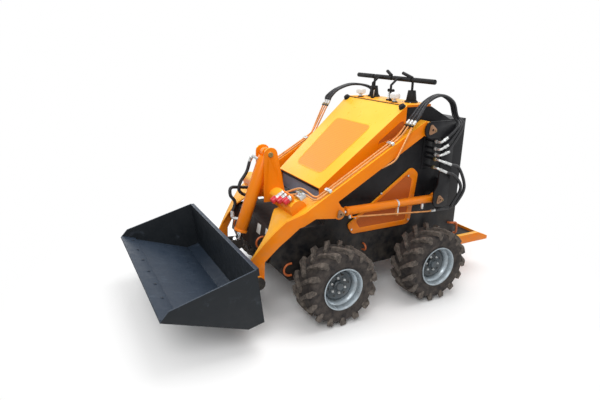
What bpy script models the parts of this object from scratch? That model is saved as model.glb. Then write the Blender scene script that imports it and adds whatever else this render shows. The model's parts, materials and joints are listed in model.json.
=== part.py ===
# A compact ride-on-behind skid steer loader on four wheels, with a bucket.
# Metres, +Z up, +X to the machine's left, -Y to its front. The sizes below are
# taken from the front axle, on the ground, and the last step moves the whole
# machine so that its origin lies under the middle of its box.

from math import atan2, cos, hypot, pi, radians, sin, tan

import bmesh
import bpy
from mathutils import Matrix, Vector

# Gaps and overruns
SEAT_GAP = 0.0003        # between pieces that touch
PIN_PLAY = 0.001         # between a pin and the eye that turns on it
SIDE_PLAY = 0.006        # between an eye and the plates beside it
OVERRUN = 0.004          # how far a cutter stands out of what it cuts
ROUND_SIDES = 16         # sides of a turned piece
SMALL_SIDES = 8          # sides of a thin bar
SMALL_RADIUS = 0.013     # where a bar counts as thin
ARC_STEPS = 4            # points in a rounded corner
LUGS = 14                # lugs on each half of a tyre
ROUTE_STEPS = 6          # points between two places on a hose

# Wheels and axles
WHEELBASE = 0.761
TYRE_RADIUS = 0.254      # out to the lugs' tips, a 20 inch tyre
TYRE_WIDTH = 0.219
TREAD_HEIGHT = 0.022     # the lugs' height over the carcass
LUG_FOOT = 0.004         # their height where they end on the sidewall
LUG_SWEEP = radians(15)  # how far a lug leans back from centre to shoulder
LUG_CENTRE = 0.004       # half the groove between the two rows of lugs
RIM_RADIUS = 0.127       # the bead seat, a 10 inch rim
RIM_FLANGE_RADIUS = 0.138
RIM_FLANGE = 0.0055      # thickness of the flange
WHEEL_CENTRE_X = 0.5175
RIM_WIDTH = 0.211
RIM_WALL = 0.007
DISC_DEPTH = 0.083       # how deep the disc lies behind the rim's face
DISC_THICKNESS = 0.010
HUB_RADIUS = 0.042
HUB_LENGTH = 0.025
AXLE_RADIUS = 0.034
MOTOR_RADIUS = 0.075     # wheel motor behind the wheel
MOTOR_LENGTH = 0.055
RIM_STEPS = 16

# Frame
FRAME_HALF = 0.34        # outer face of its side plates
FRAME_PLATE = 0.010
BELLY_Z = 0.235
NOSE_FOOT_Y = -0.233
NOSE_Y = -0.368
NOSE_FOOT_Z = 0.385
NOSE_TOP_Y = -0.335
NOSE_TOP_Z = 0.580
PANEL_Y = 0.012          # grey panel under the hood's front edge
PANEL_TOP_Z = 0.790
PANEL_HALF = 0.276
DECK_Z = 1.300           # top of the side plates at the console
CONSOLE_Y = 0.606
CONSOLE_REAR_Y = 0.820
SHOULDER_Y = 0.998
SHOULDER_Z = 1.207
FRAME_REAR_Y = 1.150
RAIL_WIDTH = 0.055       # flange along the top of the side plates
RAIL_DEPTH = 0.012

# Engine
ENGINE_HALF = 0.200
ENGINE_FRONT_Y = 0.170
ENGINE_LENGTH = 0.420
ENGINE_Z = 0.300
ENGINE_HEIGHT = 0.400

# Hood
HOOD_FRONT_Y = -0.004
HOOD_FRONT_Z = 0.812
HOOD_REAR_Y = 0.598
HOOD_PROUD = 0.015       # how far its top end stands over the side plates
HOOD_SLOPE = atan2(DECK_Z + HOOD_PROUD - HOOD_FRONT_Z, HOOD_REAR_Y - HOOD_FRONT_Y)
HOOD_HALF_FRONT = 0.290
HOOD_HALF_REAR = 0.355
HOOD_SIDE = 0.130        # depth of the side walls
HOOD_WALL = 0.004
HOOD_GAP = 0.006         # between hood and frame
KNUCKLE_LENGTH = 0.040   # hinge knuckle at the foot of each side wall

# Side covers, with their outline as places
COVER_X = 0.3403
COVER_THICKNESS = 0.012
COVER_ROUND = 0.045
COVER_FRONT_Y = 0.180
COVER_REAR_Y = 0.745
COVER_FOOT_Z = 0.487
COVER_NOSE_Z = 0.553
COVER_TOP_Y = 0.690
COVER_TOP_Z = 0.900
COVER_REAR_FOOT_Y = 0.705
COVER_REAR_TOP_Z = 0.850
COVER_BORDER = 0.042
COVER_RECESS = 0.003

# Rear towers that carry the arms and the lift cylinders
ARM_PIVOT_Y = 0.727
ARM_PIVOT_Z = 1.166
LIFT_PIN_Y = 0.855
LIFT_PIN_Z = 0.677
EAR_PLATE = 0.012
EAR_RADIUS = 0.055
PIN_RADIUS = 0.0175
PIN_HEAD = 0.006         # how far a pin stands out of its ear
TOWER_REAR_Y = 0.930
TOWER_WAIST_Y = 0.830
TOWER_WEB = 0.012
SPACER_RADIUS = 0.030

# Loader arms
ARM_INNER_X = 0.390
ARM_WIDTH = 0.060
ARM_SLOPE = radians(29.9)
ARM_TOP = 0.069          # from the pivot square up to the arm's top edge
ARM_DEPTH = 0.078
ARM_END = 0.037          # from the pivot forward to where the top edge starts
ARM_EYE_RADIUS = 0.050
ROD_PIN_Y = 0.056
ROD_PIN_Z = 0.682
BRACKET_RADIUS = 0.038
BRACKET_FRONT = 0.169    # from the rod's pin forward to the bracket's front
BRACKET_DROP = 0.027
BRACKET_REAR = 0.037
BRACKET_RISE = 0.045
BUCKET_PIN_Y = -0.450
BUCKET_PIN_Z = 0.272
LEG_EYE_RADIUS = 0.044
LEG_BOSS_X = 0.262       # the boss round the bucket pin, from its inner end
LEG_BOSS_LENGTH = 0.090
ARM_BEND_Y = -0.190      # in front of this the arm is a plate that leads inward
ARM_TOE_SHARE = 0.50     # how far in it leads for each length forward
ARM_FRONT_PLATE = 0.018
# Outline of that plate as (forward share, upward share) of the way from the bucket pin to the bend
ARM_TOP_SHARES = ((0.385, 0.870), (0.615, 0.717), (0.846, 0.540), (1.096, 0.320))
ARM_UNDER_SHARES = ((0.819, 0.287), (0.512, 0.522), (0.296, 0.659), (0.100, 0.791))
GUSSET_PLATE = 0.010
GUSSET_PROUD = 0.0015    # over the arm's edge
GUSSET_REAR_Y = -0.100
GUSSET_WIDTH = 0.225     # from the arm's middle in to its inner corner
# Its inner edge as (forward share, inward share of its width), then its narrow rear end
GUSSET_SHARES = ((1.077, 0), (0.819, 0.155), (0.638, 0.325), (0.292, 1), (-0.346, 0.756))
FORK_SLOT = 0.040        # slot in the arm for the rod's eye
FORK_SLOT_RADIUS = 0.075

# Cross tube with the tower of the tilt cylinder
CROSS_Y = -0.200
CROSS_Z = 0.728
CROSS_RADIUS = 0.055
TILT_PIN_Y = -0.244
TILT_PIN_Z = 1.005
TILT_TOWER_HALF = 0.070
TILT_TOWER_PLATE = 0.012
TILT_TOWER_RADIUS = 0.043
TILT_TOWER_FRONT_Y = -0.285
TILT_TOWER_REAR_Y = -0.125
TILT_TOWER_FOOT_Z = 0.690
# Pipes along the arms
PIPE_RADIUS = 0.006
PIPE_NUT_RADIUS = 0.010
PIPE_NUT_LENGTH = 0.030
PIPE_INSET = 0.020       # from the arm's outer face in to the second pipe
PIPE_PITCH = 0.030
PIPE_RISE = 0.004        # under the pipes, over the arm
# Where they turn into the hoses, and where they leave the arm's top
PIPE_ENDS = {"left": (0.570, 1.210), "right": (0.455, 1.254)}
PIPE_BEND_Y = {"left": 0.500, "right": 0.340}
PIPE_OUTSIDE = 0.012     # from the arm's outer face out to the third pipe
PIPE_TUCK_BACK = 0.050   # from that bend forward to where the third pipe passes under the arm
PIPE_TUCK_DROP = 0.012
PIPE_TUCK_LENGTH = 0.080
CLAMP_LENGTH = 0.022
CLAMP_HEIGHT = 0.020
CLAMP_FRONT_Y = -0.034
CLAMP_BACK = 0.064       # from that bend forward to the rear clamp
# The way from the front clamp to the couplers as (x, y, z), each pipe on its own
PIPE_FRONT_X = 0.320
PIPE_FRONT_Y = -0.150
PIPE_FRONT_RISE = 0.115  # over the cross tube's axis
PIPE_DIP_Y = -0.090

# Couplers on the cross tube, left side only: x, y and z of the rear end, and length
COUPLER_RADIUS = 0.016
COUPLER_SLOPE = radians(30)
COUPLERS = ((0.250, -0.234, 0.800, 0.095), (0.300, -0.240, 0.798, 0.070), (0.350, -0.236, 0.797, 0.055))
COUPLER_BRACKET = 0.012
BRACKET_FOOT_SHARE = 0.7  # of the cross tube's radius, over its axis
COUPLER_BRACKET_SIDE = 0.022

# Hydraulic cylinders
LIFT_BARREL_RADIUS = 0.0275
LIFT_BARREL_NOSE = 0.064  # from the barrel's open end to the rod's pin
LIFT_ROD_RADIUS = 0.015
LIFT_EYE_RADIUS = 0.028
LIFT_EYE_WIDTH = 0.026
TILT_BARREL_RADIUS = 0.042
TILT_BARREL_NOSE = 0.083
TILT_ROD_RADIUS = 0.020
TILT_EYE_RADIUS = 0.036
TILT_EYE_WIDTH = 0.050
ROD_PLAY = 0.001         # between rod and barrel
BARREL_EYE_RADIUS = 0.034
BARREL_EYE_WIDTH = 0.046
BARREL_FLOOR = 0.040     # solid end of a barrel beyond its eye

# Bucket and its quick attach plate
BUCKET_HALF = 0.637
BUCKET_LIP_Y = -1.107
BUCKET_LIP_Z = 0.327
BUCKET_HEEL_Y = -0.631
BUCKET_HEEL_Z = 0.160
BUCKET_CHAMFER_Y = -0.535
BUCKET_CHAMFER_Z = 0.182
BUCKET_TOP_Y = -0.580
BUCKET_TOP_Z = 0.514
BUCKET_CHEEK_Y = -1.059
BUCKET_CHEEK_Z = 0.381
BUCKET_SHEET = 0.008
BUCKET_SIDE = 0.010
BUCKET_RIM = 0.040       # flange along the top of the back
BUCKET_BAR_HEIGHT = 0.045
BUCKET_BAR_DEPTH = 0.016
BUCKET_BAR_DROP = 0.001
EDGE_DEPTH = 0.100
EDGE_THICKNESS = 0.012
ATTACH_HALF = 0.420
ATTACH_PLATE = 0.012
ATTACH_FOOT = 0.070      # from the bucket pin down to the plate's foot
ATTACH_TOP = 0.200
TILT_EYE_Y = -0.456
TILT_EYE_Z = 0.414

# Platform behind the machine
PLATFORM_HALF = 0.335
PLATFORM_REAR_Y = 1.545
PLATFORM_EDGE_Y = 1.445
PLATFORM_FOOT_Z = 0.222
PLATFORM_TOP_Z = 0.292
PLATFORM_TIP_Z = 0.250
PLATFORM_CHANNEL = 0.035
PLATFORM_DECK_Z = 0.262
PLATFORM_SHEET = 0.008

# Console, handles and caps
CONSOLE_THICKNESS = 0.016
CONSOLE_INSET = 0.004
BOOT_X = 0.215
BOOT_Y = 0.745
BOOT_RADIUS = 0.038
BOOT_TOP_RADIUS = 0.026
BOOT_HEIGHT = 0.080
BAR_Z = 1.465
BAR_RADIUS = 0.0115
BAR_INNER_X = 0.006
BAR_OUTER_X = 0.430
POST_RADIUS = 0.0085
POST_X = {"left": 0.106, "right": -0.106}
# The slanting grips: x and height over the bar of the upper and the lower end
HORNS = {"left": ((0.106, 0.040), (0.208, 0.013)), "right": ((-0.070, 0.046), (-0.016, 0.016))}
POST_Y = 0.650
POST_BEND = 0.040
CAP_X = {"left": 0.179, "right": -0.224}
CAP_Y = 0.632
CAP_TOP_RADIUS = 0.026
CAP_TOP_HEIGHT = 0.034
CAP_STEM_RADIUS = 0.010
CAP_STEM_HEIGHT = 0.036
# The cap's dome as shares of its radius and height
CAP_SHARES = ((0.45, 0.97), (0.80, 0.80), (1.00, 0.45), (0.92, 0.08))

# Tie-down rings
RING_RADIUS = 0.038
RING_WIRE = 0.007
RING_X = 0.200
RING_Z = 0.470
RING_BENDS = 8           # straight stretches in the ring's half circle

# Hoses over the towers, and the bulkhead that they leave the frame by
HOSE_RADIUS = 0.009
HOSE_PITCH = 0.0185      # at the top of their arch, where they all but touch
HOSE_TOP_X = 0.398
HOSE_ARCHES = {"left": ((0.700, 1.342), (0.812, 1.381), (0.920, 1.335), (0.968, 1.240)),
               "right": ((0.550, 1.362), (0.690, 1.395), (0.860, 1.362), (0.955, 1.245))}
HOSE_OUT_X = 0.376
HOSE_GAP = 0.004         # between a pipe's nut and its hose
FITTING_RADIUS = 0.011
FITTING_REACH = 0.030    # how far an elbow stands out of the bulkhead
BULKHEAD_PLATE = 0.003
BULKHEAD_MARGIN = 0.020
# Each hose over the tower: y and z of its elbow, and of the elbow's open end
ELBOWS = ((0.875, 1.056, 0.937, 1.082), (0.887, 1.005, 0.953, 1.032), (0.895, 0.965, 0.968, 0.985))
# Each hose to the lift cylinder: y and z at the bulkhead and at the end of its straight fitting,
# and how far out its loop swings behind the tower
STUBS = ((0.905, 0.928, 0.985, 0.900, 1.122), (0.860, 0.868, 0.938, 0.843, 1.090))
STUB_END_X = 0.385
LOOP_Z = 0.715
LOOP_FOOT_Z = 0.590
LIFT_PIPE_RADIUS = 0.006
LIFT_PIPE_X = 0.440
LIFT_PIPE_DROP = 0.084   # under the cylinder's axis
LIFT_PIPE_FRONT = 0.035  # from the barrel's open end back to the front port
LIFT_PIPE_REAR_Y = 0.820
LIFT_BAND_SHARE = 0.42
LIFT_BAND_LENGTH = 0.014
WEB_WINDOW_FOOT_Z = 0.800
WEB_WINDOW_TOP_Z = 1.105
WEB_STRIP = 0.014        # left of the web beside the ear


def clear_scene():
    for obj in list(bpy.data.objects):
        bpy.data.objects.remove(obj, do_unlink=True)


def new_collection(name):
    collection = bpy.data.collections.new(name)
    bpy.context.scene.collection.children.link(collection)
    return collection


def make_material(name, colour, roughness, metallic):
    material = bpy.data.materials.new(name)
    material.use_nodes = True
    shader = material.node_tree.nodes["Principled BSDF"]
    shader.inputs["Base Color"].default_value = (*colour, 1)
    shader.inputs["Roughness"].default_value = roughness
    shader.inputs["Metallic"].default_value = metallic
    return material


def place(name, bm):
    mesh = bpy.data.meshes.new(name)
    bmesh.ops.recalc_face_normals(bm, faces=bm.faces)
    bm.to_mesh(mesh)
    bm.free()
    obj = bpy.data.objects.new(name, mesh)
    parts.objects.link(obj)
    return obj


def box(name, low, high):
    bm = bmesh.new()
    bmesh.ops.create_cube(bm, size=1)
    size = Vector(high) - Vector(low)
    middle = (Vector(high) + Vector(low)) / 2
    bmesh.ops.transform(bm, matrix=Matrix.Translation(middle) @ Matrix.Diagonal((*size, 1)), verts=bm.verts)
    return place(name, bm)


def bar(name, start, end, radius, end_radius=None, sides=None):
    """A cylinder or cone from one point to another."""
    sides = sides or (SMALL_SIDES if radius < SMALL_RADIUS else ROUND_SIDES)
    bm = bmesh.new()
    line = Vector(end) - Vector(start)
    last = radius if end_radius is None else end_radius
    bmesh.ops.create_cone(bm, cap_ends=True, segments=sides, radius1=radius, radius2=last, depth=line.length)
    turn = Vector((0, 0, 1)).rotation_difference(line).to_matrix().to_4x4()
    middle = Matrix.Translation((Vector(start) + Vector(end)) / 2)
    bmesh.ops.transform(bm, matrix=middle @ turn, verts=bm.verts)
    return place(name, bm)


def cross_bar(name, y, z, radius, from_x, to_x, sides=None):
    return bar(name, (from_x, y, z), (to_x, y, z), radius, sides=sides)


def from_curve(name, curve, matrix):
    """Makes a curve a closed mesh and puts it in place."""
    holder = bpy.data.objects.new(name, curve)
    parts.objects.link(holder)
    bpy.context.view_layer.update()
    graph = bpy.context.evaluated_depsgraph_get()
    mesh = bpy.data.meshes.new_from_object(holder.evaluated_get(graph))
    bpy.data.objects.remove(holder)
    bm = bmesh.new()
    bm.from_mesh(mesh)
    bpy.data.meshes.remove(mesh)
    bmesh.ops.remove_doubles(bm, verts=bm.verts, dist=SEAT_GAP / 10)
    bmesh.ops.transform(bm, matrix=matrix, verts=bm.verts)
    return place(name, bm)


def outline_curve(name, outlines, thickness):
    curve = bpy.data.curves.new(name, "CURVE")
    curve.dimensions = "2D"
    curve.fill_mode = "BOTH"
    curve.extrude = thickness / 2
    for points in outlines:
        spline = curve.splines.new("POLY")
        spline.points.add(len(points) - 1)
        spline.use_cyclic_u = True
        for target, (first, second) in zip(spline.points, points):
            target.co = (first, second, 0, 1)
    return curve


def plate(name, outline, from_x, to_x, holes=()):
    """A flat plate that stands along the machine, its outline given as (y, z)."""
    stand = Matrix(((0, 0, 1, (from_x + to_x) / 2), (1, 0, 0, 0), (0, 1, 0, 0), (0, 0, 0, 1)))
    return from_curve(name, outline_curve(name, (outline, *holes), abs(to_x - from_x)), stand)


def slab(name, outline, from_z, to_z):
    """A flat plate that lies level, its outline given as (x, y)."""
    return from_curve(name, outline_curve(name, (outline,), to_z - from_z), Matrix.Translation((0, 0, (from_z + to_z) / 2)))


def draped(name, outline, folds, height, thickness):
    """A plate with an outline in plan, (x, y), that is folded across the machine to follow a line of heights."""
    bm = bmesh.new()
    bm.faces.new([bm.verts.new((x, y, 0)) for x, y in outline])
    for y in folds:
        bmesh.ops.bisect_plane(bm, geom=bm.verts[:] + bm.edges[:] + bm.faces[:], plane_co=(0, y, 0), plane_no=(0, 1, 0))
    for vert in bm.verts:
        vert.co.z = height(vert.co.y) - thickness
    upper = bmesh.ops.extrude_face_region(bm, geom=bm.faces[:])
    for vert in (item for item in upper["geom"] if isinstance(item, bmesh.types.BMVert)):
        vert.co.z += thickness
    return place(name, bm)


def tube(name, points, radius):
    """A round tube or hose through a list of points."""
    curve = bpy.data.curves.new(name, "CURVE")
    curve.dimensions = "3D"
    curve.bevel_depth = radius
    curve.bevel_resolution = 2
    curve.use_fill_caps = True
    spline = curve.splines.new("POLY")
    spline.points.add(len(points) - 1)
    for target, point in zip(spline.points, points):
        target.co = (*point, 1)
    return from_curve(name, curve, Matrix.Identity(4))


def turned(name, profile, steps=ROUND_SIDES):
    """A turned shape about its own Z axis, from a profile of (radius, height) run from top to bottom."""
    mesh = bpy.data.meshes.new(name)
    mesh.from_pydata([(radius, 0, height) for radius, height in profile],
                     [(i, i + 1) for i in range(len(profile) - 1)], [])
    obj = bpy.data.objects.new(name, mesh)
    parts.objects.link(obj)
    screw = obj.modifiers.new("Turn", "SCREW")
    screw.steps = steps
    screw.render_steps = steps
    screw.use_merge_vertices = True
    screw.merge_threshold = SEAT_GAP / 10
    return obj


def rounded(points, radius, steps=ARC_STEPS):
    """Rounds the corners of an outline, with one radius or one for each corner."""
    radii = radius if isinstance(radius, (list, tuple)) else [radius] * len(points)
    result = []
    for i, corner in enumerate(points):
        here = Vector(corner)
        before = (Vector(points[i - 1]) - here).normalized()
        after = (Vector(points[(i + 1) % len(points)]) - here).normalized()
        if radii[i] == 0:
            result.append(tuple(here))
            continue
        half = before.angle(after) / 2
        inward = (before + after).normalized()
        centre = here + inward * radii[i] / sin(half)
        start = here + before * radii[i] / tan(half) - centre
        sweep = start.angle_signed(here + after * radii[i] / tan(half) - centre)
        for step in range(steps):
            turn = Matrix.Rotation(-sweep * step / (steps - 1), 2)
            result.append(tuple(centre + turn @ start))
    return result


def circle(y, z, radius, sides=ROUND_SIDES):
    return [(y + radius * cos(2 * pi * i / sides), z + radius * sin(2 * pi * i / sides)) for i in range(sides)]


def smooth_route(places, steps=ROUTE_STEPS):
    """Points of a smooth curve through the given places."""
    spots = [Vector(spot) for spot in places]
    spots = [2 * spots[0] - spots[1], *spots, 2 * spots[-1] - spots[-2]]
    route = []
    for a, b, c, d in zip(spots, spots[1:], spots[2:], spots[3:]):
        for step in range(steps):
            t = step / steps
            route.append((2 * b + (c - a) * t + (2 * a - 5 * b + 4 * c - d) * t ** 2
                          + (3 * b - a - 3 * c + d) * t ** 3) / 2)
    route.append(spots[-2])
    return route


def work_on(target, tool, operation):
    """Joins or cuts with a Boolean and puts the tool among the cutters."""
    modifier = target.modifiers.new(tool.name, "BOOLEAN")
    modifier.operation = operation
    modifier.solver = "EXACT"
    modifier.object = tool
    parts.objects.unlink(tool)
    cutters.objects.link(tool)
    tool.parent = target
    tool.hide_render = True
    tool.display_type = "WIRE"


def join(target, *tools):
    for tool in tools:
        work_on(target, tool, "UNION")
    return target


def cut(target, *tools):
    for tool in tools:
        work_on(target, tool, "DIFFERENCE")
    return target


def empty(name, location, parent=None):
    obj = bpy.data.objects.new(name, None)
    obj.location = location
    obj.parent = parent
    parts.objects.link(obj)
    return obj


def hang(pivot, *pieces):
    """Parents pieces to a pivot, where they already are in place."""
    for piece in pieces:
        piece.parent = pivot
        piece.matrix_parent_inverse = Matrix.Translation(-pivot.location)


def finish(obj, material, smooth=True):
    obj.data.materials.clear()
    obj.data.materials.append(material)
    if smooth:
        obj.data.shade_smooth()
        obj.data.set_sharp_from_angle(angle=radians(35))
    return obj


def hood_line(y):
    """Height of the hood's top at a place along the machine."""
    return HOOD_FRONT_Z + (y - HOOD_FRONT_Y) * tan(HOOD_SLOPE)


def arm_line(y, depth=0.0):
    """Height of the arm's top edge at a place, or of a line at some depth below it."""
    top = ARM_PIVOT_Z + ARM_TOP / cos(ARM_SLOPE)
    return top + (y - ARM_PIVOT_Y) * tan(ARM_SLOPE) - depth / cos(ARM_SLOPE)


def build_tyre_mesh():
    """A tyre about the X axis with a staggered row of leaning lugs on each half of its tread."""
    half = TYRE_WIDTH / 2
    seat = RIM_RADIUS + SEAT_GAP
    ground = TYRE_RADIUS - TREAD_HEIGHT
    side = [(half * 0.86, ground - TREAD_HEIGHT / 4), (half, ground - 2 * TREAD_HEIGHT),
            (RIM_WIDTH / 2 - RIM_FLANGE - SEAT_GAP, seat)]
    profile = [*side, *((-x, r) for x, r in reversed(side)), (-LUG_CENTRE, ground), (LUG_CENTRE, ground)]
    bm = bmesh.new()
    ring = [bm.verts.new((x, 0, r)) for x, r in profile]
    edges = [bm.edges.new((a, b)) for a, b in zip(ring, ring[1:] + ring[:1])]
    bmesh.ops.spin(bm, geom=ring + edges, cent=(0, 0, 0), axis=(1, 0, 0), angle=2 * pi,
                   steps=4 * LUGS, use_merge=True)
    bmesh.ops.remove_doubles(bm, verts=bm.verts, dist=SEAT_GAP / 10)
    bmesh.ops.recalc_face_normals(bm, faces=bm.faces)
    waist = seat + (ground - seat) / 4

    def column(face):
        middle = face.calc_center_median()
        return int(atan2(middle.y, middle.z) % (2 * pi) / (2 * pi) * 4 * LUGS)

    lug_faces = []
    for face in bm.faces:
        middle = face.calc_center_median()
        outer = hypot(middle.y, middle.z) > waist + TREAD_HEIGHT and abs(middle.x) > LUG_CENTRE
        turn = column(face) + (2 if middle.x < 0 else 0)
        if outer and turn % 4 < 2:
            lug_faces.append(face)
    raised = bmesh.ops.extrude_face_region(bm, geom=lug_faces)
    bmesh.ops.delete(bm, geom=lug_faces, context="FACES")
    for vert in (item for item in raised["geom"] if isinstance(item, bmesh.types.BMVert)):
        radius = hypot(vert.co.y, vert.co.z)
        if radius > ground - TREAD_HEIGHT:
            scale = (radius + (TREAD_HEIGHT if abs(vert.co.x) < half / 2 else TREAD_HEIGHT * 0.9)) / radius
            vert.co = (vert.co.x * 1.04, vert.co.y * scale, vert.co.z * scale)
        else:
            vert.co.x *= 1 + LUG_FOOT / half
    for vert in bm.verts:
        lean = LUG_SWEEP * (abs(vert.co.x) / half) ** 1.5
        vert.co = Matrix.Rotation(-lean, 3, "X") @ vert.co
    widest = max(abs(vert.co.x) for vert in bm.verts)
    tallest = max(hypot(vert.co.y, vert.co.z) for vert in bm.verts)
    for vert in bm.verts:
        vert.co.x *= min(1, half / widest)
        if hypot(vert.co.y, vert.co.z) > ground:
            vert.co.yz = vert.co.yz * TYRE_RADIUS / tallest
    mesh = bpy.data.meshes.new("tyre")
    bm.to_mesh(mesh)
    bm.free()
    return mesh


def build_rim(name):
    """A deep rim turned about Z, outboard up: hub, disc, stepped barrel and two flanges."""
    half = RIM_WIDTH / 2
    disc = half - DISC_DEPTH
    inner = RIM_RADIUS - RIM_WALL
    profile = [(0, disc + HUB_LENGTH), (HUB_RADIUS * 0.8, disc + HUB_LENGTH),
               (HUB_RADIUS, disc + HUB_LENGTH * 0.7), (HUB_RADIUS, disc), (inner * 0.93, disc),
               (inner * 0.93, half - DISC_DEPTH * 0.5), (inner, half - DISC_DEPTH * 0.4),
               (inner, half - DISC_DEPTH * 0.15), (RIM_RADIUS, half), (RIM_FLANGE_RADIUS, half),
               (RIM_FLANGE_RADIUS, half - RIM_FLANGE), (RIM_RADIUS, half - RIM_FLANGE),
               (RIM_RADIUS, -half + RIM_FLANGE), (RIM_FLANGE_RADIUS, -half + RIM_FLANGE),
               (RIM_FLANGE_RADIUS, -half), (inner, -half), (inner, disc - 2 * DISC_THICKNESS),
               (inner * 0.93, disc - DISC_THICKNESS), (0, disc - DISC_THICKNESS)]
    return turned(name, profile, RIM_STEPS)


def build_wheels(axle_z, tyre_mesh):
    rubber = make_material("tyre_rubber", (0.035, 0.033, 0.03), 0.85, 0)
    steel = make_material("rim_steel", (0.42, 0.45, 0.47), 0.35, 0.7)
    for end, y in (("front", 0), ("rear", WHEELBASE)):
        for side, sign in (("left", 1), ("right", -1)):
            pivot = empty(f"wheel_{end}_{side}_pivot", (sign * WHEEL_CENTRE_X, y, axle_z), assembly)
            tyre = bpy.data.objects.new(f"tyre_{end}_{side}", tyre_mesh)
            parts.objects.link(tyre)
            tyre.parent = pivot
            rim = build_rim(f"rim_{end}_{side}")
            rim.rotation_euler = (0, sign * pi / 2, 0)
            rim.parent = pivot
            finish(tyre, rubber)
            finish(rim, steel)


def build_axles(axle_z):
    """One turned axle beam across the machine, with a motor and a flange at both ends."""
    steel = make_material("axle_steel", (0.03, 0.03, 0.03), 0.5, 0.3)
    reach = WHEEL_CENTRE_X + RIM_WIDTH / 2 - DISC_DEPTH - DISC_THICKNESS - SEAT_GAP
    motor = FRAME_HALF + SEAT_GAP
    flange = reach - RIM_FLANGE
    half = [(0, reach), (HUB_RADIUS, reach), (HUB_RADIUS, flange), (AXLE_RADIUS, flange),
            (AXLE_RADIUS, motor + MOTOR_LENGTH), (MOTOR_RADIUS, motor + MOTOR_LENGTH),
            (MOTOR_RADIUS, motor), (AXLE_RADIUS, motor)]
    profile = half + [(radius, -height) for radius, height in reversed(half)]
    for end, y in (("front", 0), ("rear", WHEELBASE)):
        axle = turned(f"axle_{end}", profile)
        axle.rotation_euler = (0, pi / 2, 0)
        axle.location = (0, y, axle_z)
        axle.parent = assembly
        finish(axle, steel)


def build_frame(axle_z):
    """The welded frame: side plates with a flange on top, belly, nose plate and rear plate."""
    paint = make_material("frame_paint", (0.02, 0.02, 0.022), 0.45, 0)
    rail_front_z = hood_line(PANEL_Y) - HOOD_SIDE - HOOD_GAP
    rail_rear_z = hood_line(CONSOLE_Y) - HOOD_SIDE - HOOD_GAP
    outline = [(NOSE_FOOT_Y, BELLY_Z), (NOSE_Y, NOSE_FOOT_Z), (NOSE_TOP_Y, NOSE_TOP_Z), (PANEL_Y, NOSE_TOP_Z),
               (PANEL_Y, rail_front_z), (CONSOLE_Y, rail_rear_z), (CONSOLE_Y, DECK_Z),
               (CONSOLE_REAR_Y, DECK_Z), (SHOULDER_Y, SHOULDER_Z), (FRAME_REAR_Y, SHOULDER_Z),
               (FRAME_REAR_Y, BELLY_Z)]
    frame = plate("frame", outline, -FRAME_HALF, FRAME_HALF)
    inner = FRAME_HALF - FRAME_PLATE
    slack = FRAME_PLATE
    bay = [(NOSE_FOOT_Y + slack / 2, BELLY_Z + slack), (NOSE_Y + slack, NOSE_FOOT_Z + slack / 2),
           (NOSE_TOP_Y + slack, NOSE_TOP_Z - slack), (PANEL_Y + slack, NOSE_TOP_Z - slack),
           (PANEL_Y + slack, rail_front_z - RAIL_DEPTH), (CONSOLE_Y + slack, rail_rear_z - RAIL_DEPTH),
           (CONSOLE_Y + slack, DECK_Z - slack), (CONSOLE_REAR_Y - slack / 2, DECK_Z - slack),
           (SHOULDER_Y - slack / 2, SHOULDER_Z - slack), (FRAME_REAR_Y - slack, SHOULDER_Z - slack),
           (FRAME_REAR_Y - slack, BELLY_Z + slack)]
    mouth = [(PANEL_Y + slack, NOSE_TOP_Z), (PANEL_Y + slack, DECK_Z), (CONSOLE_Y - slack, DECK_Z),
             (CONSOLE_Y - slack, NOSE_TOP_Z)]
    open_half = FRAME_HALF - RAIL_WIDTH
    cut(frame, plate("frame_bay", bay, -inner, inner), plate("frame_mouth", mouth, -open_half, open_half))
    hole = AXLE_RADIUS + PIN_PLAY
    for end, y in (("front", 0), ("rear", WHEELBASE)):
        reach = FRAME_HALF + OVERRUN
        cut(frame, cross_bar(f"frame_{end}_axle_hole", y, axle_z, hole, -reach, reach))
    panel = box("front_panel", (-PANEL_HALF, PANEL_Y + slack / 4, NOSE_TOP_Z + slack),
                (PANEL_HALF, PANEL_Y + slack * 0.75, PANEL_TOP_Z))
    join(frame, panel)
    hang(assembly, frame)
    finish(frame, paint)


def build_tie_rings():
    """A ring of bent bar on each side of the nose plate."""
    steel = make_material("ring_steel", (0.02, 0.02, 0.022), 0.45, 0.3)
    rise = atan2(NOSE_TOP_Z - NOSE_FOOT_Z, NOSE_TOP_Y - NOSE_Y)
    share = (RING_Z - NOSE_FOOT_Z) / (NOSE_TOP_Z - NOSE_FOOT_Z)
    seat_y = NOSE_Y + (NOSE_TOP_Y - NOSE_Y) * share
    for side, sign in (("left", 1), ("right", -1)):
        bends = [radians(-90 + 180 * step / RING_BENDS) for step in range(RING_BENDS + 1)]
        leg = RING_WIRE + SEAT_GAP * 2
        along = Vector((0, cos(rise), sin(rise)))
        out = Vector((0, -sin(rise), cos(rise)))
        seat = Vector((sign * RING_X, seat_y, RING_Z))
        route = [seat + along * RING_RADIUS * sin(bend) + out * (leg + RING_RADIUS * cos(bend)) for bend in bends]
        route = [route[0] - out * RING_RADIUS / 2, *route, route[-1] - out * RING_RADIUS / 2]
        ring = tube(f"tie_ring_{side}", route, RING_WIRE)
        behind = bar(f"ring_seat_{side}", seat + out * SEAT_GAP, seat - out * RING_RADIUS, 2 * RING_RADIUS)
        cut(ring, behind)
        hang(assembly, ring)
        finish(ring, steel)


def build_engine():
    steel = make_material("engine_steel", (0.06, 0.06, 0.06), 0.6, 0.5)
    low = (-ENGINE_HALF, ENGINE_FRONT_Y, BELLY_Z + FRAME_PLATE + SEAT_GAP)
    high = (ENGINE_HALF, ENGINE_FRONT_Y + ENGINE_LENGTH, ENGINE_Z + ENGINE_HEIGHT)
    engine = box("engine_block", low, high)
    hang(assembly, engine)
    finish(engine, steel, smooth=False)


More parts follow.
